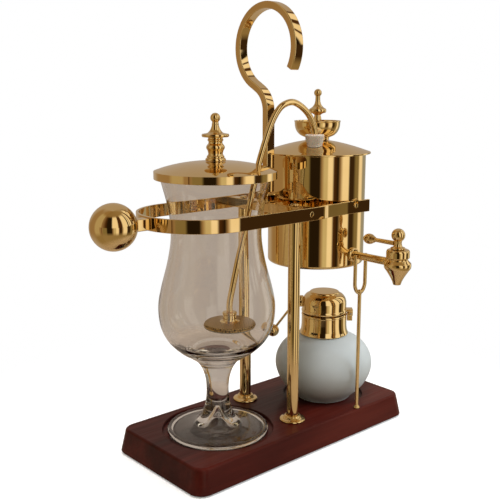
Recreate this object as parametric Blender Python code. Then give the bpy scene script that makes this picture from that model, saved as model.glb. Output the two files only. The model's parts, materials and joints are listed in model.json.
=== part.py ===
"""Balance siphon coffee maker: a boiler and a tulip glass on a wooden base, joined by a tilting beam.

Sizes are in millimetres and the meshes are made in metres. +X runs from the glass to the boiler,
+Y to the back, +Z up, and the origin lies under the middle of the base.
"""

import math

import bmesh
import bpy
from mathutils import Matrix, Vector

MM = 0.001
GAP = 0.3  # play between pieces that touch

# Base
BASE_LENGTH = 270.0
BASE_WIDTH = 126.5
BASE_BOTTOM = 1.3
BASE_TOP = 24.0
BASE_TAPER = 4.1
BASE_CORNER = 13.0
RECESS_DEPTH = 3.0
RECESS_FLOOR = BASE_TOP - RECESS_DEPTH

# Posts, bridge and beam pivot
POST_Y = 34.0
POST_RADIUS = 5.6
BRIDGE_BOTTOM = 219.5
BRIDGE_TOP = 228.5
BRIDGE_WIDTH = 10.0
PIVOT_Z = 223.3

# Beam
BEAM_BOTTOM = 217.5
BEAM_TOP = 229.1
BEAM_THICKNESS = 2.6
ARM_Y = 54.0
BOW_X = -81.0
BALL_CENTRE = (-168.2, 0.0, 224.0)
BALL_RADIUS = 19.4

# Hook
HOOK_RADIUS = 36.7
HOOK_CENTRE = (2.3, 368.0)  # in the Y-Z plane
SHANK_Y = 1.3
SHANK_BOTTOM = 237.2
HOOK_DEPTH = 6.5  # thickness in the Y-Z plane
HOOK_WIDTH = 10.0  # along X

# Glass
GLASS_X = -63.5
GLASS_WALL = 1.6
GLASS_RIM_Z = 258.0
LID_RADIUS = 54.0

# Boiler
BOILER_X = 63.0
BOILER_RADIUS = 47.2
BOILER_BOTTOM = 164.5
BOILER_TOP = 270.5
BOILER_WALL = 0.8
BOILER_LID_WALL = 1.1
TRUNNION_Z = 224.6

# Faucet
FAUCET_X = 65.0
PIPE_Z = 177.0
VALVE_Y = -100.5

# Siphon tube: it lies in the upright plane from the stopper to the filter
STOPPER_XY = (42.0, -17.0)
FILTER_XY = (-51.0, -3.0)
TUBE_RADIUS = 2.9
FILTER_Z = 120.0
FILTER_RADIUS = 24.0

# Burner
BURNER_X = 73.3
BURNER_Y = -4.0
BURNER_RADIUS = 49.0
HINGE_REACH = 26.6
HINGE_Z = 108.5
HINGE_SIDE = math.radians(-41.4)  # heading from the burner's axis to the cap's hinge
LEVER_BOSS = (25.8, 121.5)  # reach and height on the side away from the hinge
LEVER_BALL = (52.0, 90.0)

# Fork
FORK_X = 66.5
FORK_Y = -56.0
FORK_HALF_GAP = 7.2

MATERIALS = {
    "wood": ((0.10, 0.018, 0.010), 0.25, 0.0),
    "gold": ((0.80, 0.55, 0.20), 0.10, 1.0),
    "steel": ((0.60, 0.60, 0.60), 0.30, 1.0),
    "glass": ((0.92, 0.94, 0.94), 0.02, 0.0),
    "frosted": ((0.80, 0.86, 0.88), 0.55, 0.0),
    "silicone": ((0.88, 0.88, 0.86), 0.45, 0.0),
    "felt": ((0.03, 0.03, 0.03), 0.95, 0.0),
    "cotton": ((0.86, 0.84, 0.78), 0.90, 0.0),
}


def clear_scene():
    for obj in list(bpy.data.objects):
        bpy.data.objects.remove(obj)


def material(name):
    """The named material, made once."""
    found = bpy.data.materials.get(name)
    if found:
        return found
    colour, roughness, metallic = MATERIALS[name]
    made = bpy.data.materials.new(name)
    made.use_nodes = True
    shader = made.node_tree.nodes["Principled BSDF"]
    shader.inputs["Base Color"].default_value = (*colour, 1.0)
    shader.inputs["Roughness"].default_value = roughness
    shader.inputs["Metallic"].default_value = metallic
    made.diffuse_color = (*colour, 1.0)
    return made


def add_object(name, bm, finish, origin=(0.0, 0.0, 0.0)):
    """Turns a bmesh in world millimetres into an object whose own origin is the given point."""
    bmesh.ops.remove_doubles(bm, verts=bm.verts, dist=1e-4)
    bmesh.ops.recalc_face_normals(bm, faces=bm.faces)
    bmesh.ops.translate(bm, verts=bm.verts, vec=-Vector(origin))
    bmesh.ops.scale(bm, verts=bm.verts, vec=(MM, MM, MM))
    mesh = bpy.data.meshes.new(name)
    bm.to_mesh(mesh)
    bm.free()
    mesh.shade_smooth()
    mesh.set_sharp_from_angle(angle=math.radians(35))
    mesh.materials.append(material(finish))
    obj = bpy.data.objects.new(name, mesh)
    obj.location = Vector(origin) * MM
    bpy.context.collection.objects.link(obj)
    return obj


def add_cutter(name, bm):
    cutter = add_object(name, bm, "steel")
    cutter.hide_render = True
    cutter.display_type = "WIRE"
    return cutter


def boolean(obj, other, operation="DIFFERENCE"):
    """Cuts a helper out of an object, or joins it on. The helper stays out of the finished model."""
    modifier = obj.modifiers.new(other.name, "BOOLEAN")
    modifier.operation = operation
    modifier.object = other
    other.hide_render = True
    other.display_type = "WIRE"


def bevel(obj, width, segments=2, angle=40.0):
    modifier = obj.modifiers.new("bevel", "BEVEL")
    modifier.width = width * MM
    modifier.segments = segments
    modifier.limit_method = "ANGLE"
    modifier.angle_limit = math.radians(angle)


def arc(centre, radius, start, end, steps):
    """Points on a round stretch, angles in degrees from the first axis towards the second."""
    points = []
    for step in range(steps + 1):
        angle = math.radians(start + (end - start) * step / steps)
        points.append((centre[0] + radius * math.cos(angle), centre[1] + radius * math.sin(angle)))
    return points


def smooth_through(points, steps):
    """A smooth curve through the points, as a list with the given number of steps for each stretch."""
    knots = [Vector(point) for point in points]
    knots = [2 * knots[0] - knots[1], *knots, 2 * knots[-1] - knots[-2]]
    curve = []
    for index in range(1, len(knots) - 2):
        before, here, there, after = knots[index - 1 : index + 3]
        for step in range(steps):
            t = step / steps
            curve.append(
                0.5 * (2 * here + (there - before) * t
                       + (2 * before - 5 * here + 4 * there - after) * t ** 2
                       + (3 * here - before - 3 * there + after) * t ** 3)
            )
    curve.append(knots[-2])
    return [tuple(point) for point in curve]


def turned(profile, centre=(0.0, 0.0), segments=36, axis="Z", height=0.0):
    """A bmesh turned from a closed outline of (radius, height) points.

    On the Z axis the centre is (x, y). On the Y axis heights run along +Y and the centre is (x, z).
    """
    bm = bmesh.new()
    verts = [bm.verts.new((max(radius, 0.0), 0.0, z + height)) for radius, z in profile]
    edges = []
    for first, second in zip(verts, verts[1:] + verts[:1]):
        if first.co.x > 1e-6 or second.co.x > 1e-6:
            edges.append(bm.edges.new((first, second)))
    bmesh.ops.spin(bm, geom=verts + edges, cent=(0, 0, 0), axis=(0, 0, 1),
                   angle=math.tau, steps=segments, use_merge=True)
    bmesh.ops.remove_doubles(bm, verts=bm.verts, dist=1e-4)
    loose = [edge for edge in bm.edges if not edge.link_faces]
    bmesh.ops.delete(bm, geom=loose, context="EDGES")
    if axis == "Y":
        bmesh.ops.rotate(bm, verts=bm.verts, matrix=Matrix.Rotation(math.radians(-90), 3, "X"))
        bmesh.ops.translate(bm, verts=bm.verts, vec=(centre[0], 0.0, centre[1]))
    else:
        bmesh.ops.translate(bm, verts=bm.verts, vec=(centre[0], centre[1], 0.0))
    return bm


def rod(start, end, radius, segments=12):
    """A plain round bar between two points."""
    start, end = Vector(start), Vector(end)
    length = (end - start).length
    bm = turned([(0, 0), (radius, 0), (radius, length), (0, length)], segments=segments)
    turn = Vector((0, 0, 1)).rotation_difference(end - start).to_matrix()
    bmesh.ops.rotate(bm, verts=bm.verts, matrix=turn)
    bmesh.ops.translate(bm, verts=bm.verts, vec=start)
    return bm


def ball_profile(radius, middle, steps, low=-90.0, high=90.0):
    return arc((0.0, middle), radius, low, high, steps)


def ball(centre, radius, segments=16, steps=8):
    return turned(ball_profile(radius, centre[2], steps), centre[:2], segments)


def drill(bm, centre, radius, low, high):
    """Adds a six-sided upright bar to a bmesh that gathers a plate's holes."""
    place = Matrix.Translation((centre[0], centre[1], (low + high) / 2))
    bmesh.ops.create_cone(bm, cap_ends=True, segments=6, radius1=radius, radius2=radius,
                          depth=high - low, matrix=place)


def block(low, high):
    """A box between two corners."""
    bm = bmesh.new()
    bmesh.ops.create_cube(bm, size=1.0)
    size = Vector(high) - Vector(low)
    bmesh.ops.scale(bm, verts=bm.verts, vec=size)
    bmesh.ops.translate(bm, verts=bm.verts, vec=(Vector(low) + Vector(high)) / 2)
    return bm


def ribbon(path, thickness):
    """The closed outline of a band of even thickness along a plane path."""
    points = [Vector(point) for point in path]
    left, right = [], []
    for index, point in enumerate(points):
        before = points[max(index - 1, 0)]
        after = points[min(index + 1, len(points) - 1)]
        ahead = (after - point).normalized() if after != point else (point - before).normalized()
        behind = (point - before).normalized() if before != point else ahead
        normal = Vector((-(ahead + behind).y, (ahead + behind).x)).normalized()
        reach = thickness / 2 / max(normal.dot(Vector((-ahead.y, ahead.x))), 0.5)
        left.append(tuple(point + normal * reach))
        right.append(tuple(point - normal * reach))
    return left + right[::-1]


def prism(outline, low, high, plane="XY"):
    """An outline in the XY or YZ plane, drawn out between two places on the third axis."""
    bm = bmesh.new()
    if plane == "XY":
        corners = [(u, v, low) for u, v in outline]
        along = (0.0, 0.0, high - low)
    else:
        corners = [(low, u, v) for u, v in outline]
        along = (high - low, 0.0, 0.0)
    face = bm.faces.new([bm.verts.new(corner) for corner in corners])
    drawn = bmesh.ops.extrude_face_region(bm, geom=[face])
    verts = [item for item in drawn["geom"] if isinstance(item, bmesh.types.BMVert)]
    bmesh.ops.translate(bm, verts=verts, vec=along)
    return bm


def hexagon(centre, across, low, high, bore):
    """A nut: a hexagon with a round hole."""
    corners = arc(centre, across / math.sqrt(3), 0, 300, 5)
    bm = prism(corners, low, high)
    return bm, turned([(0, low - 1), (bore, low - 1), (bore, high + 1), (0, high + 1)], centre, 16)


# ---------------------------------------------------------------- base


def rounded_rectangle(length, width, corner, steps=4):
    outline = []
    for sign_x, sign_y, start in ((1, 1, 0), (-1, 1, 90), (-1, -1, 180), (1, -1, 270)):
        centre = (sign_x * (length / 2 - corner), sign_y * (width / 2 - corner))
        outline += arc(centre, corner, start, start + 90, steps)
    return outline


def make_base():
    """The wooden plate: sides drawn in towards the top, a softened top edge, and two round recesses."""
    edge = 2.5
    side = BASE_TAPER * (BASE_TOP - edge - BASE_BOTTOM) / (BASE_TOP - BASE_BOTTOM)
    levels = [(0.0, BASE_BOTTOM), (side, BASE_TOP - edge)]
    for angle in (30, 60, 90):
        turn = math.radians(angle)
        levels.append((side + edge * (1 - math.cos(turn)), BASE_TOP - edge + edge * math.sin(turn)))
    bm = bmesh.new()
    rings = []
    for inset, z in levels:
        length, width = BASE_LENGTH - 2 * inset, BASE_WIDTH - 2 * inset
        outline = rounded_rectangle(length, width, BASE_CORNER - inset / 2)
        rings.append([bm.verts.new((x, y, z)) for x, y in outline])
    for lower, upper in zip(rings, rings[1:]):
        for index in range(len(lower)):
            following = (index + 1) % len(lower)
            bm.faces.new((lower[index], lower[following], upper[following], upper[index]))
    bm.faces.new(rings[0][::-1])
    bm.faces.new(rings[-1])
    base = add_object("wooden_base", bm, "wood")
    recesses = {"glass_recess": (GLASS_X, 0.0, 51.0), "burner_recess": (BURNER_X, BURNER_Y, 40.0)}
    for name, (x, y, radius) in recesses.items():
        profile = [(0, RECESS_FLOOR), (radius, RECESS_FLOOR), (radius, BASE_TOP + 2), (0, BASE_TOP + 2)]
        boolean(base, add_cutter(name, turned(profile, (x, y), 28)))
    studs = {"front": (0.0, -POST_Y, 7.5), "back": (0.0, POST_Y, 7.5), "fork": (FORK_X, FORK_Y, 3.8)}
    for name, (x, y, nut) in studs.items():
        stud = nut / 2.8 + GAP
        profile = [(0, 0), (nut, 0), (nut, 8.0), (stud, 8.0), (stud, BASE_TOP + 2), (0, BASE_TOP + 2)]
        boolean(base, add_cutter("stud_hole_" + name, turned(profile, (x, y), 16)))
    outline = rounded_rectangle(BASE_LENGTH - 6, BASE_WIDTH - 6, BASE_CORNER - 3)
    felt = prism(outline, 0.0, BASE_BOTTOM - GAP)
    add_object("base_felt", felt, "felt")


# ---------------------------------------------------------------- frame


def make_posts():
    flange = [(POST_RADIUS + GAP, BASE_TOP + GAP), (12.3, BASE_TOP + GAP), (12.3, BASE_TOP + 1.5),
              (10.8, BASE_TOP + 3.4), (8.0, BASE_TOP + 4.8), (POST_RADIUS + GAP, BASE_TOP + 5.4)]
    for side, y in (("front", -POST_Y), ("back", POST_Y)):
        stud, top = 2.6, BRIDGE_BOTTOM - GAP
        profile = [(0, 3.0), (stud, 3.0), (stud, BASE_TOP + GAP), (POST_RADIUS, BASE_TOP + GAP),
                   (POST_RADIUS, top), (0, top)]
        add_object("post_" + side, turned(profile, (0, y), 20), "gold")
        add_object("post_flange_" + side, turned(flange, (0, y), 24), "gold")
        nut, bore = hexagon((0, y), 8.0, 4.0, 7.7, stud + GAP)
        nut = add_object("post_nut_" + side, nut, "steel")
        boolean(nut, add_cutter("post_nut_bore_" + side, bore))


def make_bridge():
    """The cross bar on the post tops, with the screws that hold it and the two pins the beam turns on."""
    reach = ARM_Y - BEAM_THICKNESS / 2 - 0.6
    half = BRIDGE_WIDTH / 2
    bridge = add_object("bridge", block((-half, -reach, BRIDGE_BOTTOM), (half, reach, BRIDGE_TOP)), "gold")
    bore = [(0, BRIDGE_BOTTOM - 1), (2.9, BRIDGE_BOTTOM - 1), (2.9, BRIDGE_TOP + 1), (0, BRIDGE_TOP + 1)]
    boolean(bridge, add_cutter("hook_hole", turned(bore, (0, SHANK_Y), 12)))
    recess = [(0, BRIDGE_BOTTOM + 2.5), (1.9, BRIDGE_BOTTOM + 2.5), (1.9, BRIDGE_TOP + 1),
              (0, BRIDGE_TOP + 1)]
    head = BRIDGE_TOP + GAP
    screw = [(0, BRIDGE_BOTTOM + 2.9), (1.6, BRIDGE_BOTTOM + 2.9), (1.6, head), (4.0, head),
             (4.0, head + 1.2), (2.6, head + 2.1), (0, head + 2.4)]
    for side, sign in (("front", -1), ("back", 1)):
        boolean(bridge, add_cutter("screw_hole_" + side, turned(recess, (0, sign * POST_Y), 10)))
        add_object("bridge_screw_" + side, turned(screw, (0, sign * POST_Y), 12), "gold")
        bore = [(0, 44.0), (2.9, 44.0), (2.9, 60.0), (0, 60.0)]
        tip = ARM_Y + BEAM_THICKNESS / 2 + 0.4
        pin = [(0, 44.4), (2.5, 44.4), (2.5, tip), (0, tip)]
        if sign < 0:
            bore = [(radius, -y) for radius, y in bore]
            pin = [(radius, -y) for radius, y in pin]
        boolean(bridge, add_cutter("pin_hole_" + side, turned(bore, (0, PIVOT_Z), 12, "Y")))
        pin = turned(pin, (0, PIVOT_Z), 12, "Y")
        add_object("pivot_pin_" + side, pin, "steel", (0, sign * ARM_Y, PIVOT_Z))


def make_hook():
    """The carrying handle: a flat bar bent to an open loop over an S-bend, on a square collar."""
    loop = arc(HOOK_CENTRE, HOOK_RADIUS, 211, -60, 24)
    start = Vector(loop[-1])
    straight = start + Vector((math.cos(math.radians(210)), math.sin(math.radians(210)))) * 6.5
    bend = straight.x - SHANK_Y
    radius = bend / (1 - math.cos(math.radians(60)))
    elbow = (SHANK_Y + radius, straight.y - radius * math.sin(math.radians(60)))
    path = loop + arc(elbow, radius, 120, 180, 7) + [(SHANK_Y, SHANK_BOTTOM)]
    outline = ribbon(path, HOOK_DEPTH)
    handle = add_object("hook_handle", prism(outline, -HOOK_WIDTH / 2, HOOK_WIDTH / 2, "YZ"), "gold")
    bevel(handle, 0.9, 1)
    stud = [(0, 211.0), (2.5, 211.0), (2.5, SHANK_BOTTOM + 3), (0, SHANK_BOTTOM + 3)]
    boolean(handle, add_cutter("hook_stud", turned(stud, (0, SHANK_Y), 12)), "UNION")
    low, high = BRIDGE_TOP + GAP, SHANK_BOTTOM - GAP
    collar = block((-6.5, SHANK_Y - 5.5, low), (6.5, SHANK_Y + 5.5, high))
    collar = add_object("hook_collar", collar, "gold")
    bevel(collar, 0.8, 1)
    bore = [(0, low - 1), (2.8, low - 1), (2.8, high + 1), (0, high + 1)]
    boolean(collar, add_cutter("hook_collar_bore", turned(bore, (0, SHANK_Y), 12)))
    nut, bore = hexagon((0, SHANK_Y), 9.0, BRIDGE_BOTTOM - 4.3, BRIDGE_BOTTOM - GAP, 2.8)
    nut = add_object("hook_nut", nut, "gold")
    boolean(nut, add_cutter("hook_nut_bore", bore))


def make_fork():
    """The rod that steadies the tap: a stem whose top opens into two tines round the tap's pipe."""
    radius, crotch, depth, tip = 1.75, 150.5, 9.6, 178.5
    curve = bpy.data.curves.new("fork_tines", "CURVE")
    curve.dimensions = "3D"
    curve.bevel_depth = radius * MM
    curve.bevel_resolution = 1
    curve.use_fill_caps = True
    bow = [(x * FORK_HALF_GAP, crotch + z * depth) for x, z in arc((0, 0), 1.0, 180, 360, 10)]
    across = [(-FORK_HALF_GAP, tip), *bow, (FORK_HALF_GAP, tip)]
    spline = curve.splines.new("POLY")
    spline.points.add(len(across) - 1)
    for point, (x, z) in zip(spline.points, across):
        point.co = ((FORK_X + x) * MM, FORK_Y * MM, z * MM, 1.0)
    bent = bpy.data.objects.new("fork_tines", curve)
    bpy.context.collection.objects.link(bent)
    graph = bpy.context.evaluated_depsgraph_get()
    tines = bmesh.new()
    tines.from_mesh(bent.evaluated_get(graph).to_mesh())
    bpy.data.objects.remove(bent)
    bmesh.ops.scale(tines, verts=tines.verts, vec=(1 / MM, 1 / MM, 1 / MM))
    stem_top = crotch - depth
    profile = [(0, 4.0), (1.3, 4.0), (1.3, BASE_TOP + GAP), (3.2, BASE_TOP + GAP), (3.2, BASE_TOP + 1.8),
               (radius, BASE_TOP + 3.0), (radius, stem_top - 2.0), (2.3, stem_top + 0.4),
               (1.2, stem_top + 2.6), (0, stem_top + 2.6)]
    fork = add_object("fork_rod", turned(profile, (FORK_X, FORK_Y), 12), "gold")
    boolean(fork, add_cutter("fork_tines", tines), "UNION")
    nut, bore = hexagon((FORK_X, FORK_Y), 5.5, 4.5, 7.7, 1.6)
    nut = add_object("fork_nut", nut, "steel")
    boolean(nut, add_cutter("fork_nut_bore", bore))


# ---------------------------------------------------------------- glass


def glass_outer():
    """Outer line of the tulip glass, from the hollow under its foot to the rim."""
    foot = RECESS_FLOOR + GAP
    edge = [(0, 46.0), (4.2, 38.0), (8.0, 31.6), (14.0, 27.4), (31.0, foot + 2.5), (42.6, foot + 0.3)]
    edge += [(44.4, foot), (46.2, foot + 0.9), (46.7, foot + 2.3), (45.4, foot + 4.2)]
    side = smooth_through([
        (39.0, foot + 3.9), (28.0, foot + 5.9), (18.6, 32.0), (12.4, 44.0), (10.2, 58.0), (10.8, 71.0),
        (13.6, 81.0), (18.6, 89.0), (26.5, 95.0), (35.5, 101.0), (45.0, 111.0), (50.9, 124.0), (52.5, 141.0),
        (49.8, 157.5), (42.9, 184.6), (40.0, 206.7), (42.2, 229.4), (47.4, 251.0), (49.4, GLASS_RIM_Z)], 1)
    return edge + side


def glass_inner():
    """Inner line of the bowl from the rim down to its floor."""
    return smooth_through([
        (47.7, GLASS_RIM_Z), (45.7, 250.6), (40.5, 229.2), (38.4, 206.7), (41.2, 184.8), (48.1, 157.8),
        (50.8, 141.0), (49.2, 124.8), (44.0, 112.6), (36.5, 105.6), (28.5, 103.3), (22.0, 102.8),
        (20.4, 100.2), (0.0, 99.8)], 1)


def make_glass():
    profile = glass_outer() + glass_inner()
    add_object("glass_beaker", turned(profile, (GLASS_X, 0), 28), "glass")


def make_glass_lid():
    """The lid that rests on the rim, its turned knob, and the slot that lets the siphon tube through."""
    low, top = 255.3, 262.3
    seat = GLASS_RIM_Z + GAP
    dome = [(52.8, top), (46.0, 264.7), (36.0, 267.2), (24.0, 269.2), (9.5, 270.2)]
    inner = [(9.5, 269.0), (26.0, 267.6), (40.0, 265.0), (50.0, 261.4)]
    profile = [(52.4, low), (LID_RADIUS, low), (LID_RADIUS, top - 0.8), *dome, (2.0, 270.2), (2.0, 269.0),
               *inner, (50.4, seat + 1.0), (46.5, seat + 1.0), (46.5, seat), (52.4, seat)]
    lid = add_object("glass_lid", turned(profile, (GLASS_X, 0), 28), "gold")
    slot = block((34.0, -4.6, low - 5), (60.0, 4.6, 280.0))
    turn = math.atan2(-8.2, 42.0)
    bmesh.ops.rotate(slot, verts=slot.verts, matrix=Matrix.Rotation(turn, 3, "Z"))
    bmesh.ops.translate(slot, verts=slot.verts, vec=(GLASS_X, 0, 0))
    boolean(lid, add_cutter("tube_slot", slot))
    base = 270.2 + GAP
    knob = [(0, base), (8.9, base), (8.9, 272.8), (7.6, 274.4), (6.1, 276.8), (8.1, 281.5), (6.2, 287.2),
            (6.4, 290.6), (11.9, 291.0), (11.9, 293.8), (6.0, 295.0), (3.0, 300.5)]
    knob += arc((0, 307.3), 4.3, -50, 90, 6)
    add_object("lid_finial", turned(knob, (GLASS_X, 0), 16), "gold")
    screw = [(0, 265.0), (4.0, 265.0), (4.0, 268.7), (0, 268.7)]
    add_object("finial_nut", turned(screw, (GLASS_X, 0), 12), "gold")


# ---------------------------------------------------------------- beam


def make_beam():
    """The flat band that bends round the glass and carries the boiler between its two arms."""
    arm = [(82.0, ARM_Y - 3.0), (53.0, ARM_Y - 4.2), (23.0, ARM_Y - 2.2), (17.0, ARM_Y)]
    bow = arc((BOW_X, 0), ARM_Y, 90, 270, 20)
    path = arm + bow + [(x, -y) for x, y in reversed(arm)]
    beam = add_object("balance_beam", prism(ribbon(path, BEAM_THICKNESS), BEAM_BOTTOM, BEAM_TOP), "gold")
    for side, sign in (("front", -1), ("back", 1)):
        low, high = sorted((sign * 40.0, sign * 60.0))
        bore = [(0, low), (2.9, low), (2.9, high), (0, high)]
        boolean(beam, add_cutter("beam_bore_" + side, turned(bore, (0, PIVOT_Z), 12, "Y")))
        notch = [(0, low), (2.7, low), (2.7, high), (0, high)]
        boolean(beam, add_cutter("beam_notch_" + side, turned(notch, (BOILER_X, TRUNNION_Z), 12, "Y")))
        mouth = block((BOILER_X - 2.7, low, TRUNNION_Z), (BOILER_X + 2.7, high, BEAM_TOP + 5))
        boolean(beam, add_cutter("beam_mouth_" + side, mouth))
    left = BOW_X - ARM_Y - BEAM_THICKNESS / 2
    start = BALL_CENTRE[0] + BALL_RADIUS + GAP
    neck = block((start, -4.6, BEAM_BOTTOM + 0.8), (left - GAP, 4.6, BEAM_TOP - 0.8))
    neck = add_object("ball_neck", neck, "gold")
    bevel(neck, 0.6, 1)
    weight = ball(BALL_CENTRE, BALL_RADIUS, 20, 10)
    add_object("counterweight_ball", weight, "gold", BALL_CENTRE)


# ---------------------------------------------------------------- boiler


def dome_height(radius):
    """Height of the boiler lid's upper face at a distance from its axis."""
    return 284.0 - 11.2 * (radius / 50.0) ** 1.6


def make_boiler():
    """The shell with its bottom, and the domed lid with the funnel and filling plug."""
    wall = BOILER_WALL
    foot = arc((BOILER_RADIUS - 3.0, BOILER_BOTTOM + 3.0), 3.0, -90, 0, 3)
    inside = BOILER_RADIUS - wall
    profile = [(0, BOILER_BOTTOM), *foot, (BOILER_RADIUS, BOILER_TOP), (inside, BOILER_TOP)]
    floor = BOILER_BOTTOM + wall
    profile += [(inside, BOILER_BOTTOM + 3.5), (inside - 2.0, floor), (0, floor)]
    shell = add_object("boiler_shell", turned(profile, (BOILER_X, 0), 32), "gold")
    pipe_hole = [(0, -60.0), (2.6, -60.0), (2.6, -30.0), (0, -30.0)]
    boolean(shell, add_cutter("pipe_hole", turned(pipe_hole, (FAUCET_X, PIPE_Z), 12, "Y")))
    for side, sign in (("front", -1), ("back", 1)):
        low, high = sorted((sign * 40.0, sign * 60.0))
        hole = [(0, low), (1.9, low), (1.9, high), (0, high)]
        boolean(shell, add_cutter("trunnion_hole_" + side, turned(hole, (BOILER_X, TRUNNION_Z), 12, "Y")))
        inner, outer = BOILER_RADIUS - 3.0, ARM_Y - 4.0 + BEAM_THICKNESS / 2 + 0.9
        seat, boss = BOILER_RADIUS + GAP, ARM_Y - 4.0 - BEAM_THICKNESS / 2 - 0.35
        pin = [(0, inner), (1.6, inner), (1.6, seat), (4.2, seat)]
        pin += [(4.2, boss), (2.3, boss), (2.3, outer), (0, outer)]
        pin = [(radius, sign * y) for radius, y in pin]
        add_object("trunnion_" + side, turned(pin, (BOILER_X, TRUNNION_Z), 16, "Y"), "gold",
                   (BOILER_X, sign * ARM_Y, TRUNNION_Z))
    base = BOILER_TOP + GAP
    outer = [(50.4 - step * 9.0, dome_height(50.4 - step * 9.0)) for step in range(5)]
    under = [(radius, height - BOILER_LID_WALL) for radius, height in reversed(outer[1:])]
    middle = dome_height(8.0)
    profile = [(44.5, base), (51.8, base), (51.8, base + 1.6), *outer, (8.0, middle),
               (8.0, middle - BOILER_LID_WALL), *under, (44.5, base + 1.2)]
    lid = add_object("boiler_lid", turned(profile, (BOILER_X, 0), 28), "gold")
    hole = [(0, 260.0), (4.2, 260.0), (4.2, 300.0), (0, 300.0)]
    boolean(lid, add_cutter("stopper_hole", turned(hole, STOPPER_XY, 12)))


def make_funnel():
    """The funnel soldered into the lid, and the plug that closes it."""
    seat = dome_height(8.0) + GAP
    outer = [(12.0, seat), (11.2, seat + 1.2), (11.8, seat + 2.2), (15.6, seat + 3.6), (18.6, seat + 6.0),
             (20.6, seat + 8.9), (21.6, seat + 12.5), (22.0, 300.6), (22.4, 301.2), (22.2, 301.8)]
    inner = [(21.0, 301.8), (20.6, 300.4), (20.2, seat + 12.6), (19.2, seat + 9.4), (17.2, seat + 6.9),
             (14.4, seat + 4.9), (11.2, seat + 4.4), (6.9, seat + 4.4), (6.9, 272.5), (7.6, 272.5),
             (7.6, seat)]
    add_object("boiler_funnel", turned(outer + inner, (BOILER_X, 0), 20), "gold")
    gasket = [(6.2, 288.5), (10.6, 288.5), (10.6, 290.2), (6.2, 290.2)]
    add_object("plug_gasket", turned(gasket, (BOILER_X, 0), 20), "silicone", (BOILER_X, 0, 289.0))
    plug = [(0, 277.0), (5.8, 277.0), (5.8, 290.5), (10.2, 290.5), (10.2, 292.0), (4.6, 293.6), (3.9, 297.0),
            (3.9, 305.5), (3.0, 307.6), (8.2, 309.3), (8.2, 313.6), (3.4, 315.2), (2.3, 321.0)]
    plug += arc((0, 327.9), 3.7, -50, 90, 6)
    add_object("fill_plug", turned(plug, (BOILER_X, 0), 16), "gold", (BOILER_X, 0, 290.0))


def make_faucet():
    """The tap: a wall flange, a pipe, a turned body, and the key with its acorn lever."""
    wall = -BOILER_RADIUS - GAP
    flange = [(2.9, wall), (6.6, wall), (6.6, wall - 1.6), (5.2, wall - 2.6), (2.9, wall - 2.6)]
    add_object("faucet_flange", turned(flange, (FAUCET_X, PIPE_Z), 16, "Y"), "gold")
    end = VALVE_Y + 11.0
    pipe = [(1.3, -43.0), (2.3, -43.0), (2.3, wall - 2.9), (3.5, wall - 2.9), (4.2, end), (1.3, end)]
    add_object("faucet_pipe", turned(pipe, (FAUCET_X, PIPE_Z), 16, "Y"), "gold")
    body = [(2.0, 157.5), (3.4, 157.5), (3.9, 159.6), (5.4, 163.2), (9.6, 169.6), (12.1, 173.6),
            (12.1, 178.0), (10.2, 179.4), (9.0, 181.4), (10.6, 182.4), (10.6, 188.6), (9.4, 190.2),
            (5.4, 190.2), (5.4, 172.0), (2.0, 171.0)]
    body = add_object("faucet_body", turned(body, (FAUCET_X, VALVE_Y), 20), "gold")
    face = [(0, VALVE_Y + 10.7), (5.5, VALVE_Y + 10.7), (5.5, VALVE_Y + 14), (0, VALVE_Y + 14)]
    boolean(body, add_cutter("pipe_face", turned(face, (FAUCET_X, PIPE_Z), 16, "Y")))
    inlet = [(0, VALVE_Y + 2), (1.3, VALVE_Y + 2), (1.3, VALVE_Y + 14), (0, VALVE_Y + 14)]
    boolean(body, add_cutter("pipe_inlet", turned(inlet, (FAUCET_X, PIPE_Z), 10, "Y")))
    key = [(0, 172.6), (5.0, 172.6), (5.0, 190.5), (6.6, 190.5), (6.6, 191.7), (4.0, 192.6), (3.4, 197.6)]
    key += arc((0, 203.0), 6.2, -57, 90, 7)
    add_object("faucet_key", turned(key, (FAUCET_X, VALVE_Y), 16), "gold", (FAUCET_X, VALVE_Y, 195.0))
    start = VALVE_Y + 3.9
    lever = [(0, start), (1.7, start), (1.4, VALVE_Y + 27.0), (2.4, VALVE_Y + 28.2), (4.3, VALVE_Y + 30.4),
             (4.9, VALVE_Y + 33.4), (3.6, VALVE_Y + 37.0), (1.2, VALVE_Y + 39.6), (0, VALVE_Y + 39.8)]
    lever = turned(lever, (FAUCET_X, 195.1), 14, "Y")
    add_object("faucet_lever", lever, "gold", (FAUCET_X, VALVE_Y, 195.0))


def along_tube(distance, height):
    """A point in the siphon tube's plane: distance from the stopper towards the filter, and height."""
    heading = (Vector(FILTER_XY) - Vector(STOPPER_XY)).normalized()
    place = Vector(STOPPER_XY) + heading * distance
    return (place.x, place.y, height)


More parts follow.
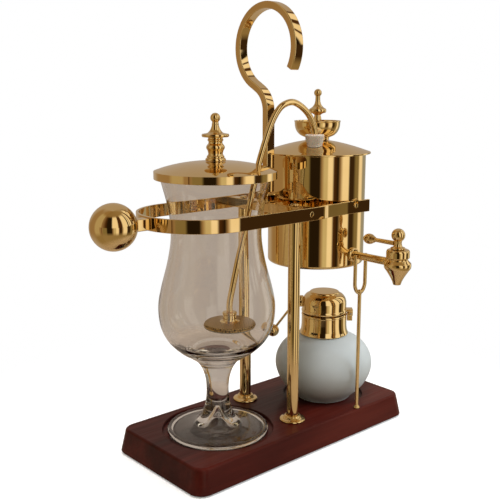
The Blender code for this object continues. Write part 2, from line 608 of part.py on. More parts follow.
def make_siphon():
    """The stopper on the boiler, the bent tube, and the filter that hangs in the glass."""
    reach = (Vector(FILTER_XY) - Vector(STOPPER_XY)).length
    bore = TUBE_RADIUS + GAP
    cone = [(0, 275.0), (6.6, 275.0), (7.2, 280.4), (9.0, 288.8), (8.3, 290.0), (0, 290.0)]
    stopper = add_object("tube_stopper", turned(cone, STOPPER_XY, 20), "silicone")
    seat = [(0, 260.0), (44.0, 260.0)]
    seat += [(4.0 * step, dome_height(4.0 * step) + GAP) for step in range(11, -1, -1)]
    boolean(stopper, add_cutter("stopper_seat", turned(seat, (BOILER_X, 0), 40)))
    stem = [(0, 268.3), (3.8, 268.3), (3.8, 286.0), (0, 286.0)]
    boolean(stopper, add_cutter("stopper_stem", turned(stem, STOPPER_XY, 20)), "UNION")
    passage = [(0, 260.0), (bore, 260.0), (bore, 300.0), (0, 300.0)]
    boolean(stopper, add_cutter("stopper_passage", turned(passage, STOPPER_XY, 20)))
    stations = [(0, 172.0), (0, 215.0), (0, 260.0), (0, 285.0), (1.6, 298.0), (10.0, 311.0), (24.0, 319.5),
                (36.0, 317.5), (44.0, 310.0), (51.0, 297.5), (57.0, 282.0), (62.5, 266.0), (66.5, 251.0),
                (71.5, 231.0), (77.5, 206.0), (85.0, 179.0), (91.0, 155.0), (reach, 141.0),
                (reach, FILTER_Z + 13.0)]
    curve = bpy.data.curves.new("siphon_tube", "CURVE")
    curve.dimensions = "3D"
    curve.bevel_depth = TUBE_RADIUS * MM
    curve.bevel_resolution = 2
    curve.use_fill_caps = True
    route = smooth_through([along_tube(*station) for station in stations], 2)
    spline = curve.splines.new("POLY")
    spline.points.add(len(route) - 1)
    for point, place in zip(spline.points, route):
        point.co = (*(Vector(place) * MM), 1.0)
    curve.materials.append(material("gold"))
    bpy.context.collection.objects.link(bpy.data.objects.new("siphon_tube", curve))
    cup_top = FILTER_Z + 12.7
    head = [(0, FILTER_Z + 1.7), (23.2, FILTER_Z + 1.7), (23.2, FILTER_Z + 3.0), (8.0, FILTER_Z + 4.6),
            (6.3, FILTER_Z + 5.6), (6.1, cup_top), (0, cup_top)]
    add_object("filter_head", turned(head, FILTER_XY, 24), "gold")
    rim = [(0, FILTER_Z), (FILTER_RADIUS, FILTER_Z), (FILTER_RADIUS, FILTER_Z + 1.4), (0, FILTER_Z + 1.4)]
    disc = add_object("filter_disc", turned(rim, FILTER_XY, 32), "gold")
    holes = bmesh.new()
    for ring, count in ((8.5, 6), (16.5, 12)):
        for hole in range(count):
            angle = math.tau * (hole + 0.37) / count
            centre = (FILTER_XY[0] + ring * math.cos(angle), FILTER_XY[1] + ring * math.sin(angle))
            drill(holes, centre, 1.3, FILTER_Z - 1, FILTER_Z + 3)
    boolean(disc, add_cutter("filter_holes", holes))
    edge = FILTER_RADIUS - 0.6
    cloth = [(0, FILTER_Z - 1.0), (edge, FILTER_Z - 1.0), (edge, FILTER_Z - GAP), (0, FILTER_Z - GAP)]
    add_object("filter_cloth", turned(cloth, FILTER_XY, 24), "cotton")


# ---------------------------------------------------------------- burner


def hinge_point(reach, z, along=0.0):
    """A point at a reach from the burner's axis towards the hinge, moved along the hinge's own axis."""
    out = (math.cos(HINGE_SIDE), math.sin(HINGE_SIDE))
    return (BURNER_X + out[0] * reach + out[1] * along, BURNER_Y + out[1] * reach - out[0] * along, z)


def hinge_block(near, far, half, low, high):
    """A box turned to the hinge's heading."""
    bm = block((near, -half, low), (far, half, high))
    bmesh.ops.rotate(bm, verts=bm.verts, matrix=Matrix.Rotation(HINGE_SIDE, 3, "Z"))
    bmesh.ops.translate(bm, verts=bm.verts, vec=(BURNER_X, BURNER_Y, 0))
    return bm


def make_burner():
    """The spirit lamp: a frosted glass bowl, a brass collar, and the wick in its tube."""
    foot = RECESS_FLOOR + GAP
    outer = [(0, foot + 1.0), (22.0, foot + 1.0), (24.0, foot), (27.4, foot)]
    outer += smooth_through([
        (27.8, foot + 1.2), (29.6, 25.2), (35.4, 30.2), (45.6, 43.6), (BURNER_RADIUS, 58.5),
        (44.6, 72.5), (34.0, 82.5), (24.5, 86.5), (21.0, 90.0), (20.6, 104.0)], 1)
    inner = smooth_through([
        (18.4, 104.0), (18.6, 91.0), (22.0, 84.6), (32.6, 80.2), (42.0, 71.4), (46.2, 58.5),
        (41.8, 44.6), (30.0, 33.0), (0.0, 29.5)], 1)
    add_object("burner_bowl", turned(outer + inner, (BURNER_X, BURNER_Y), 24), "frosted")
    collar = [(21.4, 90.4), (23.4, 88.2), (24.5, 88.2), (24.6, 89.2), (23.7, 91.2), (23.0, 94.4),
              (22.7, 98.4), (22.7, 107.6), (22.2, 109.0), (5.6, 109.0), (5.6, 107.4), (20.9, 107.4),
              (21.4, 106.6)]
    add_object("burner_collar", turned(collar, (BURNER_X, BURNER_Y), 24), "gold")
    tube = [(3.9, 92.0), (5.2, 92.0), (5.2, 109.4), (7.4, 109.4), (7.4, 110.8), (5.2, 111.4)]
    tube += [(4.9, 118.0), (3.9, 118.0)]
    add_object("wick_tube", turned(tube, (BURNER_X, BURNER_Y), 16), "gold")
    wick = [(0, 34.0), (3.5, 34.0), (3.5, 121.4), (2.6, 123.0), (0, 123.4)]
    add_object("wick", turned(wick, (BURNER_X, BURNER_Y), 12), "cotton")
    bracket = add_object("hinge_bracket", hinge_block(23.3, 28.6, 2.0, 100.5, HINGE_Z + 1.4), "gold")
    bore = rod(hinge_point(HINGE_REACH, HINGE_Z, -8), hinge_point(HINGE_REACH, HINGE_Z, 8), 1.3, 10)
    boolean(bracket, add_cutter("bracket_bore", bore))
    clearance = [(0, 90.0), (23.15, 90.0), (23.15, 126.0), (0, 126.0)]
    boolean(bracket, add_cutter("collar_clearance", turned(clearance, (BURNER_X, BURNER_Y), 24)))
    pin = rod(hinge_point(HINGE_REACH, HINGE_Z, -4.8), hinge_point(HINGE_REACH, HINGE_Z, 4.8), 1.0, 10)
    add_object("hinge_pin", pin, "steel")


def make_burner_cap():
    """The hinged snuffer cap, with the rod and ball that weigh it shut."""
    hinge = hinge_point(HINGE_REACH, HINGE_Z)
    outer = [(22.4, 110.2), (22.9, 112.0), (22.4, 114.0), (22.3, 119.4), (20.9, 125.2), (18.8, 127.9),
             (15.2, 129.8), (14.9, 130.8), (12.6, 131.7), (0, 132.0)]
    inner = [(0, 130.4), (12.6, 129.6), (16.2, 127.9), (19.2, 124.8), (20.6, 121.6)]
    inner += [(20.9, 118.0), (20.9, 110.2)]
    cap = turned(outer + inner, (BURNER_X, BURNER_Y), 24)
    cap = add_object("burner_cap", cap, "gold", hinge)
    for name, side in (("cap_ear_front", -1), ("cap_ear_back", 1)):
        near, far = sorted((side * 2.4, side * 4.4))
        ear = block((23.4, near, HINGE_Z - 2.2), (28.8, far, HINGE_Z + 2.6))
        bmesh.ops.rotate(ear, verts=ear.verts, matrix=Matrix.Rotation(HINGE_SIDE, 3, "Z"))
        bmesh.ops.translate(ear, verts=ear.verts, vec=(BURNER_X, BURNER_Y, 0))
        boolean(cap, add_cutter(name, ear), "UNION")
    tie = hinge_block(21.6, 28.8, 4.4, HINGE_Z + 2.5, HINGE_Z + 4.6)
    boolean(cap, add_cutter("cap_ear_tie", tie), "UNION")
    bore = rod(hinge_point(HINGE_REACH, HINGE_Z, -8), hinge_point(HINGE_REACH, HINGE_Z, 8), 1.3, 10)
    boolean(cap, add_cutter("cap_pin_bore", bore))
    boss = hinge_block(-LEVER_BOSS[0], -21.0, 3.0, LEVER_BOSS[1] - 6.0, LEVER_BOSS[1] + 5.0)
    boolean(cap, add_cutter("lever_boss", boss), "UNION")
    knob = Vector(hinge_point(-LEVER_BALL[0], LEVER_BALL[1]))
    start = Vector(hinge_point(-LEVER_BOSS[0] - 1.4, LEVER_BOSS[1] + 1.6))
    heading = (knob - start).normalized()
    add_object("cap_lever", rod(start, knob - heading * 6.6, 1.2, 10), "gold", hinge)
    add_object("lever_ball", ball(knob, 6.3, 16, 8), "gold", hinge)


clear_scene()
make_base()
make_posts()
make_bridge()
make_hook()
make_fork()
make_glass()
make_glass_lid()
make_beam()
make_boiler()
make_funnel()
make_faucet()
make_siphon()
make_burner()
make_burner_cap()
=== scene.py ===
"""Looks of a balance siphon coffee maker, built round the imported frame.

Outlines are in millimetres. Every piece takes its place from the box of the frame node that it stands for.
"""

import json
import math

import bmesh
import bpy
from mathutils import Matrix, Vector


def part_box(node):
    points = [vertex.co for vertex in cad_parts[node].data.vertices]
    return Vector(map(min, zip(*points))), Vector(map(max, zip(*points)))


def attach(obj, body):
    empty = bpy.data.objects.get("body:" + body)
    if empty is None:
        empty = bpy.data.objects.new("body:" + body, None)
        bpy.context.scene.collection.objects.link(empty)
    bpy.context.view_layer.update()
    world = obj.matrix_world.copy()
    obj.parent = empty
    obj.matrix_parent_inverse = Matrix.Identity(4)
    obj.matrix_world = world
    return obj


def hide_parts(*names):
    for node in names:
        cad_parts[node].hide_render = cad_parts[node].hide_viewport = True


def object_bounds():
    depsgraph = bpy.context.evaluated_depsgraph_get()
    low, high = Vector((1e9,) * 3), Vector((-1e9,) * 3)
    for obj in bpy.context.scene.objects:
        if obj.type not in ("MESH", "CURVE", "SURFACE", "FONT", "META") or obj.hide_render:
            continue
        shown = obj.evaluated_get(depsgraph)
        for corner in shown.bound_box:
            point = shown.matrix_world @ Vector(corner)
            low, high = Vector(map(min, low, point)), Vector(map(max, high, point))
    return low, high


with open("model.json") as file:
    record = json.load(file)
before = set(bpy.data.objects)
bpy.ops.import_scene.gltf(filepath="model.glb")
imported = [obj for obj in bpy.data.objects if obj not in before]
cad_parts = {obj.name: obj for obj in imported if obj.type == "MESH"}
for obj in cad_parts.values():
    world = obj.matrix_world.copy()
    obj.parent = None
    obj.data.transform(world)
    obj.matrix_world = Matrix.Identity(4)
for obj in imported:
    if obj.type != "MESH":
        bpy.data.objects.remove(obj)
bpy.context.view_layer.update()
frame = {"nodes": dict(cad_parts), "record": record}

MM = 0.001
ROUND = 112  # sides of a large turned piece

# Camera
CAMERA_AT = (-0.4951, -0.5340, 0.3315)
CAMERA_HEADING = math.radians(41.436)  # from +Y towards +X
CAMERA_DIP = math.radians(11.537)
CAMERA_LENS = 56.79
SENSOR_WIDTH = 36.0

# Stage
FLOOR_RADIUS = 0.36
FLOOR_SOLID = 0.17  # the floor is solid to here and fades out by its edge

# Driving sizes, in millimetres
BEAM_THICKNESS = 2.6
BOW_X = -81.0  # centre of the beam's bow
ARM_Y = 54.0  # middle of an arm of the beam
HOOK_RADIUS = 36.7
HOOK_BAR = 6.5
TUBE_RADIUS = 2.9
FORK_HALF_GAP = 7.2
HINGE_HEADING = math.radians(-41.4)
RECESS_DEPTH = 3.0
BOILER_RADIUS = 47.2
BOILER_WALL = 0.8
LID_WALL = 1.1

BODY_OF = {node: body for body, nodes in frame["record"]["behaviour"]["bodies"].items() for node in nodes}


# -------- places


def low(name):
    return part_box(name)[0] / MM


def high(name):
    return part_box(name)[1] / MM


def middle(name):
    return (low(name) + high(name)) / 2


# -------- outlines


def arc(centre, radius, start, end, steps):
    """Points on a round stretch, angles in degrees."""
    points = []
    for step in range(steps + 1):
        angle = math.radians(start + (end - start) * step / steps)
        points.append((centre[0] + radius * math.cos(angle), centre[1] + radius * math.sin(angle)))
    return points


def smooth_through(points, steps):
    """A smooth curve through the points, with the given number of steps for each stretch."""
    knots = [Vector(point) for point in points]
    knots = [2 * knots[0] - knots[1], *knots, 2 * knots[-1] - knots[-2]]
    curve = []
    for index in range(1, len(knots) - 2):
        before, here, there, after = knots[index - 1 : index + 3]
        for step in range(steps):
            t = step / steps
            curve.append(
                0.5 * (2 * here + (there - before) * t
                       + (2 * before - 5 * here + 4 * there - after) * t ** 2
                       + (3 * here - before - 3 * there + after) * t ** 3)
            )
    curve.append(knots[-2])
    return [tuple(point) for point in curve]


def eased(points, radius, steps=3, closed=False):
    """The same outline with every corner rounded by about the given radius."""
    knots = [Vector(point) for point in points]
    count = len(knots)
    result = []
    for index, knot in enumerate(knots):
        if not closed and index in (0, count - 1):
            result.append(tuple(knot))
            continue
        before, after = knots[index - 1], knots[(index + 1) % count]
        back, ahead = before - knot, after - knot
        if back.length < 1e-6 or ahead.length < 1e-6 or back.angle(ahead) > math.radians(174):
            result.append(tuple(knot))
            continue
        reach = min(radius, back.length * 0.45, ahead.length * 0.45)
        start, end = knot + back.normalized() * reach, knot + ahead.normalized() * reach
        for step in range(steps + 1):
            t = step / steps
            result.append(tuple((1 - t) ** 2 * start + 2 * t * (1 - t) * knot + t * t * end))
    return result


def ribbon(path, thickness):
    """The closed outline of a band of even thickness along a plane path."""
    points = [Vector(point) for point in path]
    left, right = [], []
    for index, point in enumerate(points):
        before = points[max(index - 1, 0)]
        after = points[min(index + 1, len(points) - 1)]
        along = (after - before).normalized()
        normal = Vector((-along.y, along.x))
        left.append(tuple(point + normal * thickness / 2))
        right.append(tuple(point - normal * thickness / 2))
    return left + right[::-1]


def rounded_rectangle(length, width, corner, steps=10):
    outline = []
    for sign_x, sign_y, start in ((1, 1, 0), (-1, 1, 90), (-1, -1, 180), (1, -1, 270)):
        centre = (sign_x * (length / 2 - corner), sign_y * (width / 2 - corner))
        outline += arc(centre, corner, start, start + 90, steps)
    return outline


# -------- solids


def lathe(profile, segments=ROUND, axis="Z"):
    """A solid turned from (radius, height) points. An outline that leaves the axis closes on itself."""
    bm = bmesh.new()
    rings = []
    for radius, height in profile:
        if radius < 1e-4:
            rings.append([bm.verts.new((0.0, 0.0, height))])
            continue
        ring = []
        for step in range(segments):
            angle = math.tau * step / segments
            ring.append(bm.verts.new((radius * math.cos(angle), radius * math.sin(angle), height)))
        rings.append(ring)
    for first, second in zip(rings, rings[1:] + rings[:1]):
        if len(first) == 1 and len(second) == 1:
            continue
        for step in range(segments):
            following = (step + 1) % segments
            corners = [first[step % len(first)], first[following % len(first)],
                       second[following % len(second)], second[step % len(second)]]
            corners = list(dict.fromkeys(corners))
            bm.faces.new(corners)
    if axis == "Y":
        bmesh.ops.rotate(bm, verts=bm.verts, matrix=Matrix.Rotation(math.radians(-90), 3, "X"))
    bmesh.ops.recalc_face_normals(bm, faces=bm.faces)
    return bm


def prism(outline, start, end, plane="XY"):
    """An outline in the XY or YZ plane drawn out along the third axis."""
    bm = bmesh.new()
    ends = []
    for place in (start, end):
        corners = [(u, v, place) if plane == "XY" else (place, u, v) for u, v in outline]
        ends.append([bm.verts.new(corner) for corner in corners])
    for index in range(len(outline)):
        following = (index + 1) % len(outline)
        bm.faces.new((ends[0][index], ends[0][following], ends[1][following], ends[1][index]))
    for ring in ends:
        bm.faces.new(ring)
    bmesh.ops.recalc_face_normals(bm, faces=bm.faces)
    return bm


def block(corner, opposite):
    bm = bmesh.new()
    bmesh.ops.create_cube(bm, size=1.0)
    size = Vector(opposite) - Vector(corner)
    bmesh.ops.scale(bm, verts=bm.verts, vec=size)
    bmesh.ops.translate(bm, verts=bm.verts, vec=(Vector(corner) + Vector(opposite)) / 2)
    return bm


def box_block(name):
    """A block that fills the box of a frame node."""
    return block(low(name), high(name))


def sweep(path, radius, sides=28):
    """A round bar along a path of points, with domed ends."""
    points = [Vector(point) for point in path]
    bm = bmesh.new()
    tangents = []
    for index, point in enumerate(points):
        before = points[max(index - 1, 0)]
        after = points[min(index + 1, len(points) - 1)]
        tangents.append((after - before).normalized())
    across = tangents[0].orthogonal().normalized()
    rings = []
    stations = [(0, -0.30, 0.72), *[(index, 0.0, 1.0) for index in range(len(points))],
                (len(points) - 1, 0.30, 0.72)]
    for index, ahead, share in stations:
        tangent = tangents[index]
        across = (across - tangent * across.dot(tangent)).normalized()
        other = tangent.cross(across)
        centre = points[index] + tangent * radius * ahead
        ring = []
        for step in range(sides):
            angle = math.tau * step / sides
            offset = across * math.cos(angle) + other * math.sin(angle)
            ring.append(bm.verts.new(centre + offset * radius * share))
        rings.append(ring)
    for first, second in zip(rings, rings[1:]):
        for step in range(sides):
            following = (step + 1) % sides
            bm.faces.new((first[step], first[following], second[following], second[step]))
    bm.faces.new(rings[0])
    bm.faces.new(rings[-1])
    bmesh.ops.recalc_face_normals(bm, faces=bm.faces)
    return bm


def moved(bm, offset=(0, 0, 0), turn=None):
    if turn is not None:
        bmesh.ops.rotate(bm, verts=bm.verts, matrix=turn)
    bmesh.ops.translate(bm, verts=bm.verts, vec=offset)
    return bm


def softened(bm, width, segments=3, angle=35.0):
    """Rounds the edges that turn by more than an angle."""
    edges = [edge for edge in bm.edges
             if len(edge.link_faces) == 2 and edge.calc_face_angle(0.0) > math.radians(angle)]
    bmesh.ops.bevel(bm, geom=edges, offset=width, segments=segments, profile=0.5,
                    affect="EDGES", clamp_overlap=True)
    return bm


def joined(*parts):
    """Several shells as one bmesh."""
    whole = bmesh.new()
    for part in parts:
        mesh = bpy.data.meshes.new("part")
        part.to_mesh(mesh)
        part.free()
        whole.from_mesh(mesh)
        bpy.data.meshes.remove(mesh)
    return whole


def cut(bm, *cutters):
    """The solid with other solids taken out of it."""
    mesh = bpy.data.meshes.new("cut")
    bm.to_mesh(mesh)
    bm.free()
    target = bpy.data.objects.new("cut", mesh)
    bpy.context.collection.objects.link(target)
    helpers = []
    for cutter in cutters:
        helper_mesh = bpy.data.meshes.new("cutter")
        cutter.to_mesh(helper_mesh)
        cutter.free()
        helper = bpy.data.objects.new("cutter", helper_mesh)
        bpy.context.collection.objects.link(helper)
        helpers.append(helper)
        modifier = target.modifiers.new("cut", "BOOLEAN")
        modifier.operation = "DIFFERENCE"
        modifier.solver = "EXACT"
        modifier.object = helper
    graph = bpy.context.evaluated_depsgraph_get()
    result = bmesh.new()
    evaluated = target.evaluated_get(graph)
    result.from_mesh(evaluated.to_mesh())
    evaluated.to_mesh_clear()
    for obj in (target, *helpers):
        used = obj.data
        bpy.data.objects.remove(obj)
        bpy.data.meshes.remove(used)
    return result


def piece(name, bm, finish, origin=(0.0, 0.0, 0.0), sharp=40.0):
    """Makes the visible piece that stands for a frame node. The bmesh is in world millimetres."""
    bmesh.ops.translate(bm, verts=bm.verts, vec=-Vector(origin))
    bmesh.ops.scale(bm, verts=bm.verts, vec=(MM, MM, MM))
    label = "fine_" + name
    mesh = bpy.data.meshes.new(label)
    bm.to_mesh(mesh)
    bm.free()
    mesh.shade_smooth()
    mesh.set_sharp_from_angle(angle=math.radians(sharp))
    mesh.materials.append(finish)
    obj = bpy.data.objects.new(label, mesh)
    obj.location = Vector(origin) * MM
    bpy.context.collection.objects.link(obj)
    weighted = obj.modifiers.new("weighted", "WEIGHTED_NORMAL")
    weighted.keep_sharp = True
    weighted.weight = 80
    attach(obj, BODY_OF[name])
    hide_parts(name)
    return obj


def turned_piece(name, profile, finish, segments=ROUND, axis="Z", foot=None):
    """A turned piece on the axis of its node, shifted so that its foot meets the node's box."""
    centre = middle(name)
    foot = min(point[1] for point in profile) if foot is None else foot
    bm = lathe([(radius, height - foot) for radius, height in profile], segments, axis)
    if axis == "Y":
        origin = Vector((centre.x, low(name).y, centre.z))
    else:
        origin = Vector((centre.x, centre.y, low(name).z))
    moved(bm, origin)
    return piece(name, bm, finish, origin)


# -------- finishes


def new_material(name):
    made = bpy.data.materials.new(name)
    made.use_nodes = True
    tree = made.node_tree
    return made, tree, tree.nodes["Principled BSDF"]


def set_inputs(made, values):
    """Sets constants on a material's main shader."""
    for key, value in values.items():
        made.node_tree.nodes["Principled BSDF"].inputs[key].default_value = value


def node(tree, kind, inputs=None, **settings):
    made = tree.nodes.new(kind)
    for key, value in settings.items():
        setattr(made, key, value)
    for key, value in (inputs or {}).items():
        made.inputs[key].default_value = value
    return made


def link(tree, source, output, target, socket):
    tree.links.new(source.outputs[output], target.inputs[socket])


def ramp(tree, stops):
    made = tree.nodes.new("ShaderNodeValToRGB")
    elements = made.color_ramp.elements
    while len(elements) > 1:
        elements.remove(elements[-1])
    for index, (place, colour) in enumerate(stops):
        element = elements[0] if index == 0 else elements.new(place)
        element.position = place
        element.color = (*colour, 1.0)
    return made


def stretched_noise(tree, scale, stretch=(1.0, 1.0, 1.0), detail=4.0, roughness=0.55):
    """Noise in the piece's own space, drawn out along the axes where the stretch is small."""
    where = node(tree, "ShaderNodeTexCoord")
    mapping = node(tree, "ShaderNodeMapping", {"Scale": stretch})
    noise = node(tree, "ShaderNodeTexNoise", {"Scale": scale, "Detail": detail, "Roughness": roughness})
    link(tree, where, "Object", mapping, "Vector")
    link(tree, mapping, "Vector", noise, "Vector")
    return noise


def coloured(tree, shader, source, output, stops):
    """Takes the base colour from a pattern."""
    colours = ramp(tree, stops)
    link(tree, source, output, colours, "Fac")
    link(tree, colours, "Color", shader, "Base Color")


def roughened(tree, shader, source, output, rough, start=0.3, end=0.7):
    """Takes the roughness from a pattern, over a range of the pattern's values."""
    made = node(tree, "ShaderNodeMapRange", {"From Min": start, "From Max": end,
                                             "To Min": rough[0], "To Max": rough[1]})
    link(tree, source, output, made, "Value")
    link(tree, made, "Result", shader, "Roughness")


def bump(tree, shader, height, output, strength, distance, coat=False):
    made = node(tree, "ShaderNodeBump", {"Strength": strength, "Distance": distance})
    link(tree, height, output, made, "Height")
    link(tree, made, "Normal", shader, "Normal")
    if coat:
        link(tree, made, "Normal", shader, "Coat Normal")


def gold_finish(name, colour, dark, rough=(0.015, 0.055), line_scale=(1.0, 1.0, 1.0), lines=0.0):
    """Polished plated metal: a slow colour drift, handling smudges, and fine lines from polishing."""
    made, tree, shader = new_material(name)
    set_inputs(made, {"Metallic": 1.0})
    drift = stretched_noise(tree, 26.0, detail=3.0)
    coloured(tree, shader, drift, "Fac", [(0.30, dark), (0.68, colour)])
    smudge = stretched_noise(tree, 75.0, detail=6.0, roughness=0.62)
    roughened(tree, shader, smudge, "Fac", rough, 0.38, 0.72)
    fine = stretched_noise(tree, 400.0, line_scale, 2.0)
    wave = stretched_noise(tree, 34.0, detail=1.0)
    both = node(tree, "ShaderNodeMath", operation="MULTIPLY_ADD")
    both.inputs[1].default_value = lines
    link(tree, fine, "Fac", both, 0)
    link(tree, wave, "Fac", both, 2)
    bump(tree, shader, both, "Value", 0.28, 0.0004)
    return made


def spun_finish(name, colour, dark, rough=(0.02, 0.06)):
    """Spun and polished metal: faint rings round the piece's own upright axis."""
    made, tree, shader = new_material(name)
    set_inputs(made, {"Metallic": 1.0})
    drift = stretched_noise(tree, 20.0, detail=3.0)
    coloured(tree, shader, drift, "Fac", [(0.30, dark), (0.68, colour)])
    smudge = stretched_noise(tree, 60.0, detail=6.0, roughness=0.62)
    roughened(tree, shader, smudge, "Fac", rough, 0.40, 0.74)
    where = node(tree, "ShaderNodeTexCoord")
    parts = node(tree, "ShaderNodeSeparateXYZ")
    link(tree, where, "Object", parts, "Vector")
    flat = node(tree, "ShaderNodeCombineXYZ")
    link(tree, parts, "X", flat, "X")
    link(tree, parts, "Y", flat, "Y")
    reach = node(tree, "ShaderNodeVectorMath", operation="LENGTH")
    link(tree, flat, "Vector", reach, 0)
    rings = node(tree, "ShaderNodeCombineXYZ")
    link(tree, reach, "Value", rings, "X")
    link(tree, parts, "Z", rings, "Z")
    lines = node(tree, "ShaderNodeTexNoise", {"Scale": 900.0, "Detail": 2.0})
    link(tree, rings, "Vector", lines, "Vector")
    wave = stretched_noise(tree, 22.0, (1.0, 1.0, 0.35), 1.0)
    both = node(tree, "ShaderNodeMath", operation="MULTIPLY_ADD")
    both.inputs[1].default_value = 0.012
    link(tree, lines, "Fac", both, 0)
    link(tree, wave, "Fac", both, 2)
    bump(tree, shader, both, "Value", 0.30, 0.0006)
    return made


def wood_finish():
    """Dark red-brown veneer whose grain runs along the base, under clear gloss lacquer."""
    made, tree, shader = new_material("lacquered_wood")
    grain = stretched_noise(tree, 46.0, (0.10, 1.6, 1.2), 7.0, 0.62)
    warp = stretched_noise(tree, 9.0, (0.35, 1.0, 1.0), 3.0)
    mixed = node(tree, "ShaderNodeMath", operation="MULTIPLY_ADD")
    mixed.inputs[1].default_value = 0.62
    link(tree, grain, "Fac", mixed, 0)
    link(tree, warp, "Fac", mixed, 2)
    coloured(tree, shader, mixed, "Value", [
        (0.56, (0.014, 0.0014, 0.0010)), (0.76, (0.034, 0.0036, 0.0026)),
        (0.90, (0.058, 0.0068, 0.0046)), (1.0, (0.080, 0.0110, 0.0072))])
    pores = stretched_noise(tree, 420.0, (0.05, 1.0, 1.0), 2.0)
    roughened(tree, shader, pores, "Fac", (0.34, 0.50))
    set_inputs(made, {"Specular IOR Level": 0.10, "Coat Weight": 0.20, "Coat Roughness": 0.11,
                      "Coat IOR": 1.45})
    peel = stretched_noise(tree, 160.0, detail=2.0)
    bump(tree, shader, peel, "Fac", 0.10, 0.0003, coat=True)
    return made


def clear_glass_finish():
    """Blown glass: slight waves in the wall and a few smudges."""
    made, tree, shader = new_material("clear_glass")
    set_inputs(made, {"Transmission Weight": 1.0, "IOR": 1.47})
    tint = stretched_noise(tree, 12.0, detail=2.0)
    coloured(tree, shader, tint, "Fac", [(0.30, (0.955, 0.945, 0.935)), (0.70, (0.985, 0.980, 0.975))])
    smudge = stretched_noise(tree, 55.0, detail=6.0, roughness=0.65)
    roughened(tree, shader, smudge, "Fac", (0.0, 0.05), 0.55, 0.80)
    wave = stretched_noise(tree, 20.0, (1.0, 1.0, 0.30), 2.0)
    bump(tree, shader, wave, "Fac", 0.30, 0.0012)
    return made


def frosted_glass_finish():
    """Acid-frosted glass: satin, blue-white, with fine upright streaks from its mould."""
    made, tree, shader = new_material("frosted_glass")
    cloud = stretched_noise(tree, 18.0, (1.0, 1.0, 0.4), 4.0)
    coloured(tree, shader, cloud, "Fac", [(0.30, (0.60, 0.675, 0.72)), (0.70, (0.72, 0.80, 0.85))])
    set_inputs(made, {"Transmission Weight": 0.30, "IOR": 1.46})
    grit = stretched_noise(tree, 900.0, detail=2.0)
    roughened(tree, shader, grit, "Fac", (0.40, 0.58))
    bump(tree, shader, grit, "Fac", 0.18, 0.0002)
    return made


def plain_finish(name, first, second, scale, rough, strength, distance, metallic=0.0,
                 stretch=(1.0, 1.0, 1.0)):
    """A finish of two close colours with matching roughness and relief."""
    made, tree, shader = new_material(name)
    set_inputs(made, {"Metallic": metallic})
    grain = stretched_noise(tree, scale, stretch)
    coloured(tree, shader, grain, "Fac", [(0.32, first), (0.68, second)])
    roughened(tree, shader, grain, "Fac", rough)
    bump(tree, shader, grain, "Fac", strength, distance)
    return made


def woven_finish_painted_shade(name, first, second, pitch, rough):
    """Plain weave: two crossing sets of threads, with painted shade: the low places between the threads take
    the darker colour.
    """
    made, tree, shader = new_material(name)
    where = node(tree, "ShaderNodeTexCoord")
    height = None
    for direction in ("X", "Y"):
        wave = node(tree, "ShaderNodeTexWave", {"Scale": pitch, "Distortion": 0.6, "Detail": 1.0,
                                                "Detail Scale": 2.0}, bands_direction=direction)
        link(tree, where, "Object", wave, "Vector")
        if height is None:
            height = wave
            continue
        crossed = node(tree, "ShaderNodeMath", operation="MAXIMUM")
        link(tree, height, "Fac", crossed, 0)
        link(tree, wave, "Fac", crossed, 1)
        height = crossed
    # painted shade: the low places between the threads, where the gaps lie in shade, take the darker first
    # colour
    coloured(tree, shader, height, "Value", [(0.15, first), (0.85, second)])
    roughened(tree, shader, height, "Value", rough, 0.0, 1.0)
    bump(tree, shader, height, "Value", 0.5, 0.0003)
    return made


GOLD = (0.86, 0.655, 0.335)
GOLD_DARK = (0.80, 0.585, 0.275)
gold = gold_finish("polished_gold", GOLD, GOLD_DARK)
gold_bar = gold_finish("gold_bar", (0.85, 0.640, 0.330), (0.79, 0.575, 0.270), (0.012, 0.05),
                       (1.0, 0.06, 0.06), 0.02)
gold_spun = spun_finish("spun_gold", GOLD, GOLD_DARK)
# the near-black first colour is painted shade in the holes between the mesh's wires
gold_mesh = woven_finish_painted_shade("gold_mesh", (0.030, 0.012, 0.004), (0.74, 0.50, 0.21), 140.0, (0.18, 0.45))
set_inputs(gold_mesh, {"Metallic": 0.85})
steel = plain_finish("machined_steel", (0.48, 0.48, 0.49), (0.62, 0.62, 0.63), 300.0, (0.20, 0.34),
                     0.10, 0.0002, 1.0, (1.0, 1.0, 0.1))
wood = wood_finish()
glass = clear_glass_finish()
frosted = frosted_glass_finish()
silicone = plain_finish("white_silicone", (0.50, 0.44, 0.37), (0.60, 0.54, 0.47), 90.0, (0.36, 0.52),
                        0.12, 0.0003)
set_inputs(silicone, {"Subsurface Weight": 0.15, "Subsurface Scale": 0.004})
felt = plain_finish("black_felt", (0.012, 0.012, 0.012), (0.035, 0.034, 0.033), 700.0, (0.85, 0.98),
                    0.7, 0.0006)
# the darker first colour is painted shade between the cotton threads
cotton = woven_finish_painted_shade("cotton_weave", (0.55, 0.52, 0.45), (0.82, 0.79, 0.72), 520.0, (0.80, 0.95))


# -------- base and posts


